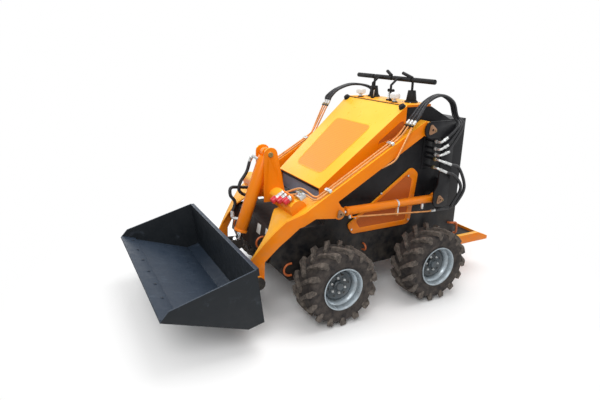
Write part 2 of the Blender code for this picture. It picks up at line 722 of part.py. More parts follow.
def build_hood():
    """A sheet hood, wider at its top end, with side and rear walls, hinged at its lower front edge."""
    paint = make_material("hood_paint", (1.0, 0.42, 0.02), 0.35, 0)

    def shell(name, inset, front_y, drop):
        bm = bmesh.new()
        bmesh.ops.create_cube(bm, size=1)
        for vert in bm.verts:
            front = vert.co.y < 0
            half = (HOOD_HALF_FRONT if front else HOOD_HALF_REAR) - inset
            vert.co.x = half if vert.co.x > 0 else -half
            vert.co.y = front_y if front else HOOD_REAR_Y - inset
            top = hood_line(vert.co.y) - inset / cos(HOOD_SLOPE)
            vert.co.z = top if vert.co.z > 0 else hood_line(vert.co.y) - drop
        return place(name, bm)

    hood = shell("hood", 0, HOOD_FRONT_Y, HOOD_SIDE)
    cut(hood, shell("hood_inside", HOOD_WALL, HOOD_FRONT_Y - OVERRUN, HOOD_SIDE + OVERRUN))
    foot_z = HOOD_FRONT_Z - HOOD_SIDE
    outer_x = HOOD_HALF_FRONT - HOOD_WALL / 4
    for side, sign in (("left", 1), ("right", -1)):
        join(hood, cross_bar(f"hood_knuckle_{side}", HOOD_FRONT_Y, foot_z, PANEL_Y - HOOD_FRONT_Y - SEAT_GAP,
                             *sorted((sign * outer_x, sign * (outer_x - KNUCKLE_LENGTH)))))
    pivot = empty("hood_pivot", (0, HOOD_FRONT_Y, foot_z), assembly)
    hang(pivot, hood)
    finish(hood, paint)


def build_side_covers():
    paint = make_material("cover_paint", (0.95, 0.3, 0.01), 0.4, 0)
    outline = [(COVER_FRONT_Y, COVER_NOSE_Z), (COVER_FRONT_Y + COVER_BORDER, COVER_FOOT_Z),
               (COVER_REAR_FOOT_Y, COVER_FOOT_Z), (COVER_REAR_Y, COVER_REAR_TOP_Z), (COVER_TOP_Y, COVER_TOP_Z)]
    middle = (sum(y for y, z in outline) / len(outline), sum(z for y, z in outline) / len(outline))
    share = 1 - 2 * COVER_BORDER / (COVER_TOP_Z - COVER_FOOT_Z)
    inner = [(middle[0] + (y - middle[0]) * share, middle[1] + (z - middle[1]) * share) for y, z in outline]
    rounds = [COVER_ROUND * 0.6, COVER_ROUND * 0.6, COVER_ROUND, COVER_ROUND * 0.8, COVER_ROUND * 0.8]
    for side, sign in (("left", 1), ("right", -1)):
        near = sign * COVER_X
        far = sign * (COVER_X + COVER_THICKNESS)
        cover = plate(f"side_cover_{side}", rounded(outline, rounds), min(near, far), max(near, far))
        floor = sign * (COVER_X + COVER_THICKNESS - COVER_RECESS)
        over = sign * (COVER_X + COVER_THICKNESS + OVERRUN)
        cut(cover, plate(f"cover_recess_{side}", rounded(inner, COVER_ROUND / 3), min(floor, over), max(floor, over)))
        hang(assembly, cover)
        finish(cover, paint)


def build_towers():
    """Outer ear plates with a web to the frame and the two pins that cross the gap."""
    paint = make_material("tower_paint", (0.02, 0.02, 0.022), 0.45, 0)
    ear_x = ARM_INNER_X + ARM_WIDTH + SIDE_PLAY
    r = EAR_RADIUS
    outline = [(ARM_PIVOT_Y - r, ARM_PIVOT_Z - r), (ARM_PIVOT_Y - r, ARM_PIVOT_Z + r), (TOWER_REAR_Y, ARM_PIVOT_Z + r),
               (TOWER_REAR_Y, LIFT_PIN_Z - r), (LIFT_PIN_Y - r, LIFT_PIN_Z - r), (LIFT_PIN_Y - r, LIFT_PIN_Z + r),
               (TOWER_WAIST_Y, LIFT_PIN_Z + 2 * r), (TOWER_WAIST_Y, ARM_PIVOT_Z - r)]
    rounds = [r * 0.9, r * 0.9, r / 2, r / 2, r * 0.9, r / 2, r / 2, r / 2]
    for side, sign in (("left", 1), ("right", -1)):
        def across(near, far):
            return min(sign * near, sign * far), max(sign * near, sign * far)
        tower = plate(f"tower_{side}", rounded(outline, rounds), *across(ear_x, ear_x + EAR_PLATE))
        near, far = across(FRAME_HALF + SEAT_GAP, ear_x + EAR_PLATE / 2)
        web_rear = TOWER_REAR_Y - TOWER_WEB / 4
        web = box(f"tower_web_{side}", (near, web_rear - TOWER_WEB, LIFT_PIN_Z - r / 3),
                  (far, web_rear, ARM_PIVOT_Z + r / 3))
        window = box(f"tower_window_{side}", (across(FRAME_HALF - OVERRUN, ear_x - WEB_STRIP)[0], web_rear - 2 * TOWER_WEB,
                                              WEB_WINDOW_FOOT_Z),
                     (across(FRAME_HALF - OVERRUN, ear_x - WEB_STRIP)[1], web_rear + TOWER_WEB, WEB_WINDOW_TOP_Z))
        join(tower, web)
        cut(tower, window)
        for label, y, z in (("arm", ARM_PIVOT_Y, ARM_PIVOT_Z), ("lift", LIFT_PIN_Y, LIFT_PIN_Z)):
            pin = cross_bar(f"{label}_pin_{side}", y, z, PIN_RADIUS,
                            *across(FRAME_HALF + EAR_PLATE, ear_x + EAR_PLATE + PIN_HEAD))
            spacer = cross_bar(f"{label}_spacer_{side}", y, z, SPACER_RADIUS,
                               *across(FRAME_HALF + SEAT_GAP, ARM_INNER_X - SIDE_PLAY))
            join(tower, pin, spacer)
        hang(assembly, tower)
        finish(tower, paint)


def arm_front(shares):
    """A place on the arm's front plate, from its shares of the way from bend to bucket pin."""
    forward, upward = shares
    bend_z = arm_line(ARM_BEND_Y)
    return (ARM_BEND_Y + (BUCKET_PIN_Y - ARM_BEND_Y) * forward, BUCKET_PIN_Z + (bend_z - BUCKET_PIN_Z) * upward)


def arm_top(y):
    """Height of the arm's top edge all the way to its tip."""
    tops = [arm_front(shares) for shares in ARM_TOP_SHARES]
    if y >= tops[0][0]:
        return arm_line(y)
    for (rear_y, rear_z), (front_y, front_z) in zip(tops, tops[1:]):
        if y >= front_y or (front_y, front_z) == tops[-1]:
            return front_z + (y - front_y) * (rear_z - front_z) / (rear_y - front_y)


def arm_outer_x(y):
    """Outer face of the arm, which leads inward in front of the bend."""
    return ARM_INNER_X + ARM_WIDTH - max(0, ARM_BEND_Y - y) * ARM_TOE_SHARE


def build_gusset(side, sign):
    """The folded plate between arm and cross tube, cut out round the tube."""
    middle = ARM_FRONT_PLATE / 2
    inner = []
    for forward, inward in GUSSET_SHARES:
        y = ARM_BEND_Y + (BUCKET_PIN_Y - ARM_BEND_Y) * forward
        inner.append((arm_outer_x(y) - middle - GUSSET_WIDTH * inward, y))
    inner[-1] = (inner[-1][0], GUSSET_REAR_Y)
    rear_x = ARM_INNER_X + ARM_WIDTH / 2
    outline = [*inner, (rear_x, GUSSET_REAR_Y), (arm_outer_x(ARM_BEND_Y) - middle, ARM_BEND_Y)]
    folds = [arm_front(shares)[0] for shares in ARM_TOP_SHARES[:-1]]
    gusset = draped(f"gusset_{side}", [(sign * x, y) for x, y in outline], folds,
                    lambda y: arm_top(y) + GUSSET_PROUD, GUSSET_PLATE)
    reach = sorted((0, sign * (ARM_INNER_X - SEAT_GAP)))
    return cut(gusset, cross_bar(f"gusset_round_{side}", CROSS_Y, CROSS_Z, CROSS_RADIUS + SEAT_GAP, *reach))


def build_arms(pivot):
    """The two arms: a straight beam with a bracket for the lift rod, then a plate that leads in and down."""
    paint = make_material("arm_paint", (0.98, 0.34, 0.01), 0.38, 0)
    front_y = ROD_PIN_Y - BRACKET_FRONT
    rear_y = ARM_PIVOT_Y - ARM_END
    notch_y = ROD_PIN_Y - BRACKET_DROP / 2
    outline = [(rear_y, arm_line(rear_y)), *(arm_front(shares) for shares in ARM_TOP_SHARES),
               (BUCKET_PIN_Y - LEG_EYE_RADIUS, BUCKET_PIN_Z), (BUCKET_PIN_Y + LEG_EYE_RADIUS, BUCKET_PIN_Z),
               *(arm_front(shares) for shares in ARM_UNDER_SHARES), (front_y, arm_line(front_y, ARM_DEPTH)),
               (ROD_PIN_Y - BRACKET_DROP, ROD_PIN_Z - BRACKET_DROP),
               (ROD_PIN_Y + BRACKET_REAR, ROD_PIN_Z + BRACKET_DROP),
               (ROD_PIN_Y + BRACKET_REAR / 4, ROD_PIN_Z + BRACKET_RISE),
               (notch_y, arm_line(notch_y, ARM_DEPTH)), (ARM_PIVOT_Y, arm_line(ARM_PIVOT_Y, ARM_DEPTH)),
               (ARM_PIVOT_Y, ARM_PIVOT_Z)]
    tip_y = BUCKET_PIN_Y - 2 * LEG_EYE_RADIUS
    over_y = ARM_PIVOT_Y + ARM_EYE_RADIUS
    near_x = LEG_BOSS_X - LEG_EYE_RADIUS
    outer_x = ARM_INNER_X + ARM_WIDTH
    outside = [(outer_x, ARM_BEND_Y), (outer_x + OVERRUN, ARM_BEND_Y), (outer_x + OVERRUN, tip_y),
               (arm_outer_x(tip_y), tip_y)]
    inside = [(ARM_INNER_X, over_y), (ARM_INNER_X, ARM_BEND_Y), (outer_x - ARM_FRONT_PLATE, ARM_BEND_Y),
              (arm_outer_x(tip_y) - ARM_FRONT_PLATE, tip_y), (near_x - OVERRUN, tip_y), (near_x - OVERRUN, over_y)]
    low = BUCKET_PIN_Z - 2 * LEG_EYE_RADIUS
    high = arm_line(rear_y) + OVERRUN
    for side, sign in (("left", 1), ("right", -1)):
        faces = sorted((sign * ARM_INNER_X, sign * outer_x))
        arm = plate(f"arm_{side}", outline, *sorted((sign * near_x, sign * outer_x)))
        cut(arm, slab(f"arm_outside_{side}", [(sign * x, y) for x, y in outside], low, high),
            slab(f"arm_inside_{side}", [(sign * x, y) for x, y in inside], low, high))
        boss = sorted((sign * LEG_BOSS_X, sign * (LEG_BOSS_X + LEG_BOSS_LENGTH)))
        join(arm, cross_bar(f"arm_eye_{side}", ARM_PIVOT_Y, ARM_PIVOT_Z, ARM_EYE_RADIUS, *faces),
             cross_bar(f"leg_eye_{side}", BUCKET_PIN_Y, BUCKET_PIN_Z, LEG_EYE_RADIUS, *boss),
             cross_bar(f"bracket_eye_{side}", ROD_PIN_Y, ROD_PIN_Z, BRACKET_RADIUS, *faces),
             build_gusset(side, sign))
        ends = (faces[0] - OVERRUN, faces[1] + OVERRUN)
        middle = sign * (ARM_INNER_X + ARM_WIDTH / 2)
        bore = PIN_RADIUS + PIN_PLAY
        cut(arm, cross_bar(f"arm_bore_{side}", ARM_PIVOT_Y, ARM_PIVOT_Z, bore, *ends),
            cross_bar(f"leg_bore_{side}", BUCKET_PIN_Y, BUCKET_PIN_Z, bore, boss[0] - OVERRUN, boss[1] + OVERRUN),
            cross_bar(f"fork_slot_{side}", ROD_PIN_Y, ROD_PIN_Z, FORK_SLOT_RADIUS,
                      middle - FORK_SLOT / 2, middle + FORK_SLOT / 2))
        hang(pivot, arm)
        finish(arm, paint)


def build_cross_member(pivot):
    """The cross tube between the arms, its gussets and the two plates that hold the tilt cylinder."""
    paint = make_material("cross_paint", (0.98, 0.34, 0.01), 0.38, 0)
    reach = ARM_INNER_X - SEAT_GAP
    member = cross_bar("cross_member", CROSS_Y, CROSS_Z, CROSS_RADIUS, -reach, reach)
    r = TILT_TOWER_RADIUS
    outline = [(TILT_PIN_Y - r, TILT_PIN_Z + r), (TILT_TOWER_FRONT_Y, TILT_TOWER_FOOT_Z),
               (TILT_TOWER_REAR_Y, TILT_TOWER_FOOT_Z), (TILT_PIN_Y + r, TILT_PIN_Z + r)]
    for side, sign in (("left", 1), ("right", -1)):
        faces = sorted((sign * TILT_TOWER_HALF, sign * (TILT_TOWER_HALF - TILT_TOWER_PLATE)))
        join(member, plate(f"tilt_tower_{side}", rounded(outline, [r * 0.95, 0, 0, r * 0.95]), *faces))
    head = TILT_TOWER_HALF + PIN_HEAD
    join(member, cross_bar("tilt_pin", TILT_PIN_Y, TILT_PIN_Z, PIN_RADIUS, -head, head))
    hang(pivot, member)
    finish(member, paint)


def cylinder_parts(label, start, end, barrel_nose, barrel_radius, rod_radius, eye_radius, eye_width, extras=()):
    """A hollow barrel with an eye at its closed end, and a rod with an eye, at rest from start to end."""
    x = start[0]
    line = Vector(end) - Vector(start)
    way = line.normalized()
    barrel_length = line.length - barrel_nose
    barrel = bar(f"{label}_barrel", Vector(start) + way * BARREL_EYE_RADIUS * 0.7,
                 Vector(start) + way * barrel_length, barrel_radius)
    half = BARREL_EYE_WIDTH / 2
    join(barrel, cross_bar(f"{label}_cap_eye", start[1], start[2], BARREL_EYE_RADIUS, x - half, x + half))
    hollow = Vector(start) + way * (BARREL_EYE_RADIUS + BARREL_FLOOR)
    join(barrel, *extras)
    cut(barrel, bar(f"{label}_bore", hollow, Vector(start) + way * (barrel_length + OVERRUN), rod_radius + ROD_PLAY),
        cross_bar(f"{label}_eye_bore", start[1], start[2], PIN_RADIUS + PIN_PLAY,
                  x - half - OVERRUN, x + half + OVERRUN))
    rod = bar(f"{label}_rod", hollow + way * OVERRUN, Vector(end) - way * eye_radius / 2, rod_radius)
    join(rod, cross_bar(f"{label}_rod_eye", end[1], end[2], eye_radius, x - eye_width / 2, x + eye_width / 2))
    return barrel, rod


def build_lift_pipe(side, sign, start, end):
    """The hard pipe under a lift cylinder, from the front port back to its hose, and the band that holds it."""
    line = Vector(end) - Vector(start)
    way = line.normalized()
    drop = LIFT_BARREL_RADIUS + 2 * LIFT_PIPE_RADIUS
    front = Vector(start) + way * (line.length - LIFT_BARREL_NOSE - LIFT_PIPE_FRONT)
    x = sign * LIFT_PIPE_X
    rear_z = LIFT_PIN_Z - LIFT_PIPE_DROP
    route = [(front.x, front.y, front.z - LIFT_BARREL_RADIUS / 2), (x, front.y, front.z - drop),
             (x, front.y + drop, front.z - drop), (x, LIFT_PIPE_REAR_Y - drop, rear_z), (x, LIFT_PIPE_REAR_Y, rear_z)]
    nut = bar(f"lift_pipe_nut_{side}", (x, LIFT_PIPE_REAR_Y - LIFT_PIPE_RADIUS, rear_z),
              (x, LIFT_PIPE_REAR_Y + PIPE_NUT_LENGTH, rear_z), PIPE_NUT_RADIUS, sides=6)
    middle = Vector(start) + way * line.length * LIFT_BAND_SHARE
    band = bar(f"lift_band_{side}", middle - way * LIFT_BAND_LENGTH / 2, middle + way * LIFT_BAND_LENGTH / 2,
               LIFT_BARREL_RADIUS + LIFT_PIPE_RADIUS / 3)
    holder = box(f"lift_pipe_holder_{side}", (min(x, start[0]) - LIFT_PIPE_RADIUS / 2, middle.y - LIFT_BAND_LENGTH / 3,
                                             front.z - LIFT_PIPE_DROP + PIPE_RISE),
                 (max(x, start[0]) + LIFT_PIPE_RADIUS / 2, middle.y + LIFT_BAND_LENGTH / 3, middle.z - LIFT_BARREL_RADIUS / 2))
    return tube(f"lift_pipe_{side}", route, LIFT_PIPE_RADIUS), nut, band, holder


def build_cylinders():
    paint = make_material("barrel_paint", (0.98, 0.34, 0.01), 0.35, 0)
    chrome = make_material("rod_chrome", (0.7, 0.7, 0.7), 0.15, 1)
    middle = ARM_INNER_X + ARM_WIDTH / 2
    for side, sign in (("left", 1), ("right", -1)):
        start = (sign * middle, LIFT_PIN_Y, LIFT_PIN_Z)
        end = (sign * middle, ROD_PIN_Y, ROD_PIN_Z)
        barrel, rod = cylinder_parts(f"lift_{side}", start, end, LIFT_BARREL_NOSE, LIFT_BARREL_RADIUS,
                                     LIFT_ROD_RADIUS, LIFT_EYE_RADIUS, LIFT_EYE_WIDTH,
                                     build_lift_pipe(side, sign, start, end))
        pivot = empty(f"lift_{side}_pivot", start, assembly)
        hang(pivot, barrel, rod)
        finish(barrel, paint)
        finish(rod, chrome)
    start = (0, TILT_PIN_Y, TILT_PIN_Z)
    end = (0, TILT_EYE_Y, TILT_EYE_Z)
    barrel, rod = cylinder_parts("tilt", start, end, TILT_BARREL_NOSE, TILT_BARREL_RADIUS,
                                 TILT_ROD_RADIUS, TILT_EYE_RADIUS, TILT_EYE_WIDTH)
    pivot = empty("tilt_pivot", start, assembly)
    hang(pivot, barrel, rod)
    finish(barrel, paint)
    finish(rod, chrome)


def build_bucket(pivot):
    """The bucket: floor, heel, back and two cheeks as one welded body, and its cutting edge."""
    paint = make_material("bucket_paint", (0.045, 0.06, 0.08), 0.5, 0.2)
    steel = make_material("edge_steel", (0.05, 0.065, 0.085), 0.45, 0.4)
    lip = Vector((BUCKET_LIP_Y, BUCKET_LIP_Z))
    heel = Vector((BUCKET_HEEL_Y, BUCKET_HEEL_Z))
    chamfer = Vector((BUCKET_CHAMFER_Y, BUCKET_CHAMFER_Z))
    top = Vector((BUCKET_TOP_Y, BUCKET_TOP_Z))
    cheek = Vector((BUCKET_CHEEK_Y, BUCKET_CHEEK_Z))
    bucket = plate("bucket", [lip, heel, chamfer, top, cheek], -BUCKET_HALF, BUCKET_HALF)
    sheet = BUCKET_SHEET
    floor_way = (lip - heel).normalized()
    floor_up = Vector((floor_way.y, -floor_way.x))
    back_way = (top - chamfer).normalized()
    back_in = Vector((-back_way.y, back_way.x))
    cavity = [lip + floor_up * sheet + floor_way * sheet, heel + floor_up * sheet,
              chamfer + back_in * sheet + back_way * sheet, top + back_in * sheet + back_way * sheet * 4,
              cheek + floor_up * BUCKET_RIM + floor_way * BUCKET_RIM]
    inner = BUCKET_HALF - BUCKET_SIDE
    cut(bucket, plate("bucket_inside", cavity, -inner, inner))
    outside = -back_in
    high = top + back_in * sheet / 2 - back_way * BUCKET_BAR_DROP
    low = high - back_way * BUCKET_BAR_HEIGHT
    out = outside * (BUCKET_BAR_DEPTH + sheet / 2)
    join(bucket, plate("bucket_bar", [high, low, low + out, high + out], -inner, inner))
    seat = SEAT_GAP
    edge_rear = lip - floor_way * EDGE_DEPTH
    edge = plate("cutting_edge", [lip + floor_up * (sheet + seat), edge_rear + floor_up * (sheet + seat),
                                  edge_rear + floor_up * (sheet + EDGE_THICKNESS),
                                  lip + floor_up * (sheet + EDGE_THICKNESS / 2)], -inner + seat, inner - seat)
    hang(pivot, bucket, edge)
    finish(bucket, paint)
    finish(edge, steel)


def build_attach_plate(pivot):
    """The quick attach plate behind the bucket, with ears for the arm pins and the tilt rod."""
    paint = make_material("attach_paint", (0.02, 0.02, 0.022), 0.5, 0)
    chamfer = Vector((BUCKET_CHAMFER_Y, BUCKET_CHAMFER_Z))
    top = Vector((BUCKET_TOP_Y, BUCKET_TOP_Z))
    way = (top - chamfer).normalized()
    out = Vector((way.y, -way.x))
    pin = Vector((BUCKET_PIN_Y, BUCKET_PIN_Z))
    foot = chamfer + way * ((pin - chamfer).dot(way) - ATTACH_FOOT) + out * SEAT_GAP
    head = chamfer + way * ((pin - chamfer).dot(way) + ATTACH_TOP) + out * SEAT_GAP
    outline = [foot, foot + out * ATTACH_PLATE, head + out * ATTACH_PLATE, head]
    attach = plate("attach_plate", outline, -ATTACH_HALF, ATTACH_HALF)
    r = LEG_EYE_RADIUS
    near = out * ATTACH_PLATE / 2
    boss_end = LEG_BOSS_X + LEG_BOSS_LENGTH
    ear_faces = ((LEG_BOSS_X - SIDE_PLAY - EAR_PLATE, LEG_BOSS_X - SIDE_PLAY),
                 (boss_end + SIDE_PLAY, boss_end + SIDE_PLAY + EAR_PLATE))
    base = chamfer + way * (pin - chamfer).dot(way)
    ear = [base - way * r + near, base - way * r * 0.9 + out * ((pin - base).dot(out) + r * 0.9),
           base + way * r * 0.9 + out * ((pin - base).dot(out) + r * 0.9), base + way * r + near]
    for side, sign in (("left", 1), ("right", -1)):
        for label, (low, high) in zip(("inner", "outer"), ear_faces):
            faces = sorted((sign * low, sign * high))
            join(attach, plate(f"attach_ear_{label}_{side}", rounded(ear, [0, r * 0.85, r * 0.85, 0]), *faces))
        ends = sorted((sign * (ear_faces[0][0] - PIN_HEAD), sign * (ear_faces[1][1] + PIN_HEAD)))
        join(attach, cross_bar(f"bucket_pin_{side}", BUCKET_PIN_Y, BUCKET_PIN_Z, PIN_RADIUS, *ends))
    eye = Vector((TILT_EYE_Y, TILT_EYE_Z))
    r = TILT_EYE_RADIUS
    base = chamfer + way * (eye - chamfer).dot(way)
    ear = [base - way * r * 1.5 + near, base - way * r * 0.7 + out * ((eye - base).dot(out) + r * 0.8),
           base + way * r * 0.7 + out * ((eye - base).dot(out) + r * 0.8), base + way * r * 1.5 + near]
    gap = TILT_EYE_WIDTH / 2 + SIDE_PLAY
    for side, sign in (("left", 1), ("right", -1)):
        faces = sorted((sign * gap, sign * (gap + EAR_PLATE)))
        join(attach, plate(f"tilt_ear_{side}", rounded(ear, [0, r * 0.6, r * 0.6, 0]), *faces))
    hang(pivot, attach)
    finish(attach, paint)


def build_platform():
    """The step behind the machine: two side channels, a deck between them and a rear edge."""
    paint = make_material("platform_paint", (0.95, 0.3, 0.01), 0.45, 0)
    front = FRAME_REAR_Y + SEAT_GAP
    outline = [(front, PLATFORM_FOOT_Z), (PLATFORM_REAR_Y, PLATFORM_FOOT_Z), (PLATFORM_REAR_Y, PLATFORM_TIP_Z),
               (PLATFORM_EDGE_Y, PLATFORM_TOP_Z), (front, PLATFORM_TOP_Z)]
    platform = plate("platform", outline, -PLATFORM_HALF, PLATFORM_HALF)
    inner = PLATFORM_HALF - PLATFORM_CHANNEL
    above = PLATFORM_TOP_Z + OVERRUN
    below = PLATFORM_FOOT_Z - OVERRUN
    sheet = PLATFORM_SHEET
    well = box("platform_well", (-inner, front + sheet, PLATFORM_DECK_Z), (inner, PLATFORM_EDGE_Y - sheet, above))
    under = box("platform_under", (-inner, front + sheet, below),
                (inner, PLATFORM_EDGE_Y - sheet, PLATFORM_DECK_Z - sheet))
    notch = box("platform_notch", (-inner, PLATFORM_EDGE_Y, below), (inner, PLATFORM_REAR_Y + OVERRUN, above))
    cut(platform, well, under, notch)
    hang(assembly, platform)
    finish(platform, paint)


def build_console():
    """The console plate, two caps on stems, and a handle with its rubber boot on each side."""
    copper = make_material("console_plate", (0.75, 0.35, 0.1), 0.4, 0.3)
    black = make_material("handle_black", (0.012, 0.012, 0.012), 0.5, 0)
    zinc = make_material("cap_zinc", (0.75, 0.76, 0.76), 0.3, 0.8)
    base_z = DECK_Z + SEAT_GAP
    top_z = base_z + CONSOLE_THICKNESS
    half = FRAME_HALF - CONSOLE_INSET
    console = box("console", (-half, CONSOLE_Y, base_z), (half, CONSOLE_REAR_Y - CONSOLE_INSET, top_z))
    hang(assembly, console)
    finish(console, copper, smooth=False)
    seat_z = top_z + SEAT_GAP
    for side, sign in (("left", 1), ("right", -1)):
        boot = bar(f"handle_{side}", (sign * BOOT_X, BOOT_Y, seat_z), (sign * BOOT_X, BOOT_Y, seat_z + BOOT_HEIGHT),
                   BOOT_RADIUS, BOOT_TOP_RADIUS)
        stem = bar(f"handle_stem_{side}", (sign * BOOT_X, BOOT_Y, seat_z + BOOT_HEIGHT / 2),
                   (sign * BOOT_X, BOOT_Y, BAR_Z), POST_RADIUS)
        grip = bar(f"handle_bar_{side}", (sign * BAR_INNER_X, BOOT_Y, BAR_Z), (sign * BAR_OUTER_X, BOOT_Y, BAR_Z), BAR_RADIUS)
        x = POST_X[side]
        post = tube(f"handle_post_{side}", [(x, POST_Y, seat_z), (x, POST_Y, BAR_Z - POST_BEND),
                                            (x, (POST_Y + BOOT_Y) / 2, BAR_Z), (x, BOOT_Y, BAR_Z)], POST_RADIUS)
        horn = bar(f"handle_grip_{side}", *((x, BOOT_Y, BAR_Z + height) for x, height in HORNS[side]), BAR_RADIUS)
        join(boot, stem, grip, post, horn)
        hang(assembly, boot)
        finish(boot, black)
        dome = [(CAP_TOP_RADIUS * wide, CAP_STEM_HEIGHT + CAP_TOP_HEIGHT * high) for wide, high in CAP_SHARES]
        cap = turned(f"cap_{side}", [(0, CAP_STEM_HEIGHT + CAP_TOP_HEIGHT), *dome,
                                     (CAP_STEM_RADIUS, CAP_STEM_HEIGHT), (CAP_STEM_RADIUS, 0), (0, 0)])
        cap.location = (CAP_X[side], CAP_Y, seat_z)
        cap.parent = assembly
        finish(cap, zinc)


def over_arm(y, height):
    return arm_line(y) + height / cos(ARM_SLOPE)


def pipe_way(side):
    """The direction in y and z in which the pipes' rear ends rise."""
    end = Vector(PIPE_ENDS[side])
    bend_y = PIPE_BEND_Y[side]
    return (end - Vector((bend_y, over_arm(bend_y, PIPE_RADIUS + PIPE_RISE)))).normalized()


def build_pipes(pivot):
    """Two hard pipes on top of each arm and one outside it, with their clamps; on the left they lead to the couplers."""
    bronze = make_material("pipe_bronze", (0.6, 0.3, 0.12), 0.3, 0.9)
    lift = PIPE_RADIUS + PIPE_RISE
    outer_x = ARM_INNER_X + ARM_WIDTH
    lanes = (outer_x - PIPE_INSET - PIPE_PITCH, outer_x - PIPE_INSET)
    third_x = outer_x + PIPE_OUTSIDE

    for side, sign in (("left", 1), ("right", -1)):
        pipes = []
        end = PIPE_ENDS[side]
        bend_y = PIPE_BEND_Y[side]
        for i, x in enumerate(lanes):
            route = [(x, *end), (x, bend_y, over_arm(bend_y, lift)), (x, CLAMP_FRONT_Y, over_arm(CLAMP_FRONT_Y, lift))]
            if sign > 0:
                aside = x - lanes[0]
                dip_y = PIPE_DIP_Y - aside / 2
                coupler = COUPLERS[i]
                route += [(x, dip_y, over_arm(dip_y, lift)), (PIPE_FRONT_X + aside, PIPE_FRONT_Y, CROSS_Z + PIPE_FRONT_RISE - aside),
                          (coupler[0], coupler[1] + COUPLER_BRACKET / 2, coupler[2])]
            else:
                route.append((x, CROSS_Y, over_arm(CROSS_Y, lift)))
            pipes.append(tube(f"pipe_{i}_{side}", [(sign * px, py, pz) for px, py, pz in route], PIPE_RADIUS))
        tuck_y = bend_y - PIPE_TUCK_BACK
        tuck_z = arm_line(tuck_y, ARM_DEPTH) - PIPE_TUCK_DROP
        low_y = tuck_y - PIPE_TUCK_LENGTH
        low_z = arm_line(low_y, ARM_DEPTH) - PIPE_TUCK_DROP
        route = [(third_x, *end), (third_x, tuck_y, tuck_z), (lanes[1], low_y, low_z)]
        pipes.append(tube(f"pipe_outside_{side}", [(sign * px, py, pz) for px, py, pz in route], PIPE_RADIUS))
        way = Vector((0, *pipe_way(side)))
        for i, x in enumerate((*lanes, third_x)):
            top = Vector((sign * x, *end))
            pipes.append(bar(f"pipe_nut_{i}_{side}", top - way * PIPE_RADIUS, top + way * PIPE_NUT_LENGTH, PIPE_NUT_RADIUS, sides=6))
        faces = sorted((sign * (lanes[0] - PIPE_NUT_RADIUS), sign * (third_x + PIPE_NUT_RADIUS)))
        bridge = Vector((0, *end)) - way * PIPE_NUT_LENGTH / 2
        reach = PIPE_RADIUS + PIPE_RISE
        clamps = [box(f"pipe_bridge_{side}", (faces[0], bridge.y - reach, bridge.z - reach),
                      (faces[1], bridge.y + reach, bridge.z + reach))]
        faces = sorted((sign * (lanes[0] - PIPE_PITCH / 2), sign * (lanes[1] + PIPE_PITCH / 2)))
        for i, y in enumerate((CLAMP_FRONT_Y + CLAMP_LENGTH, bend_y - CLAMP_BACK)):
            outline = [(y + step * CLAMP_LENGTH / 2, over_arm(y + step * CLAMP_LENGTH / 2, height))
                       for step, height in ((-1, SEAT_GAP), (1, SEAT_GAP), (1, CLAMP_HEIGHT), (-1, CLAMP_HEIGHT))]
            clamps.append(plate(f"arm_pipes_{side}" if i == 0 else f"pipe_clamp_{side}", outline, *faces))
        body = clamps[1]
        join(body, *pipes, clamps[0], clamps[2])
        if sign > 0:
            join(body, *build_couplers())
            reach = ARM_INNER_X - SEAT_GAP
            cut(body, cross_bar("coupler_saddle", CROSS_Y, CROSS_Z, CROSS_RADIUS + SEAT_GAP, 0, reach))
        hang(pivot, body)
        finish(body, bronze)


def build_couplers():
    """Quick couplers that point down and forward over the left gusset, on one bracket."""
    pieces = []
    way = Vector((0, -cos(COUPLER_SLOPE), -sin(COUPLER_SLOPE)))
    for i, (x, y, z, length) in enumerate(COUPLERS):
        start = Vector((x, y, z))
        pieces.append(bar(f"coupler_{i}", start, start + way * length, COUPLER_RADIUS, sides=12))
    lowest = CROSS_Z + CROSS_RADIUS * BRACKET_FOOT_SHARE
    highest = max(z for x, y, z, length in COUPLERS) + COUPLER_RADIUS
    pieces.append(box("coupler_bracket", (COUPLERS[0][0] - COUPLER_BRACKET_SIDE, COUPLERS[0][1] - COUPLER_BRACKET / 2, lowest),
                      (COUPLERS[-1][0] + COUPLER_BRACKET_SIDE, COUPLERS[0][1] + COUPLER_BRACKET, highest)))
    return pieces


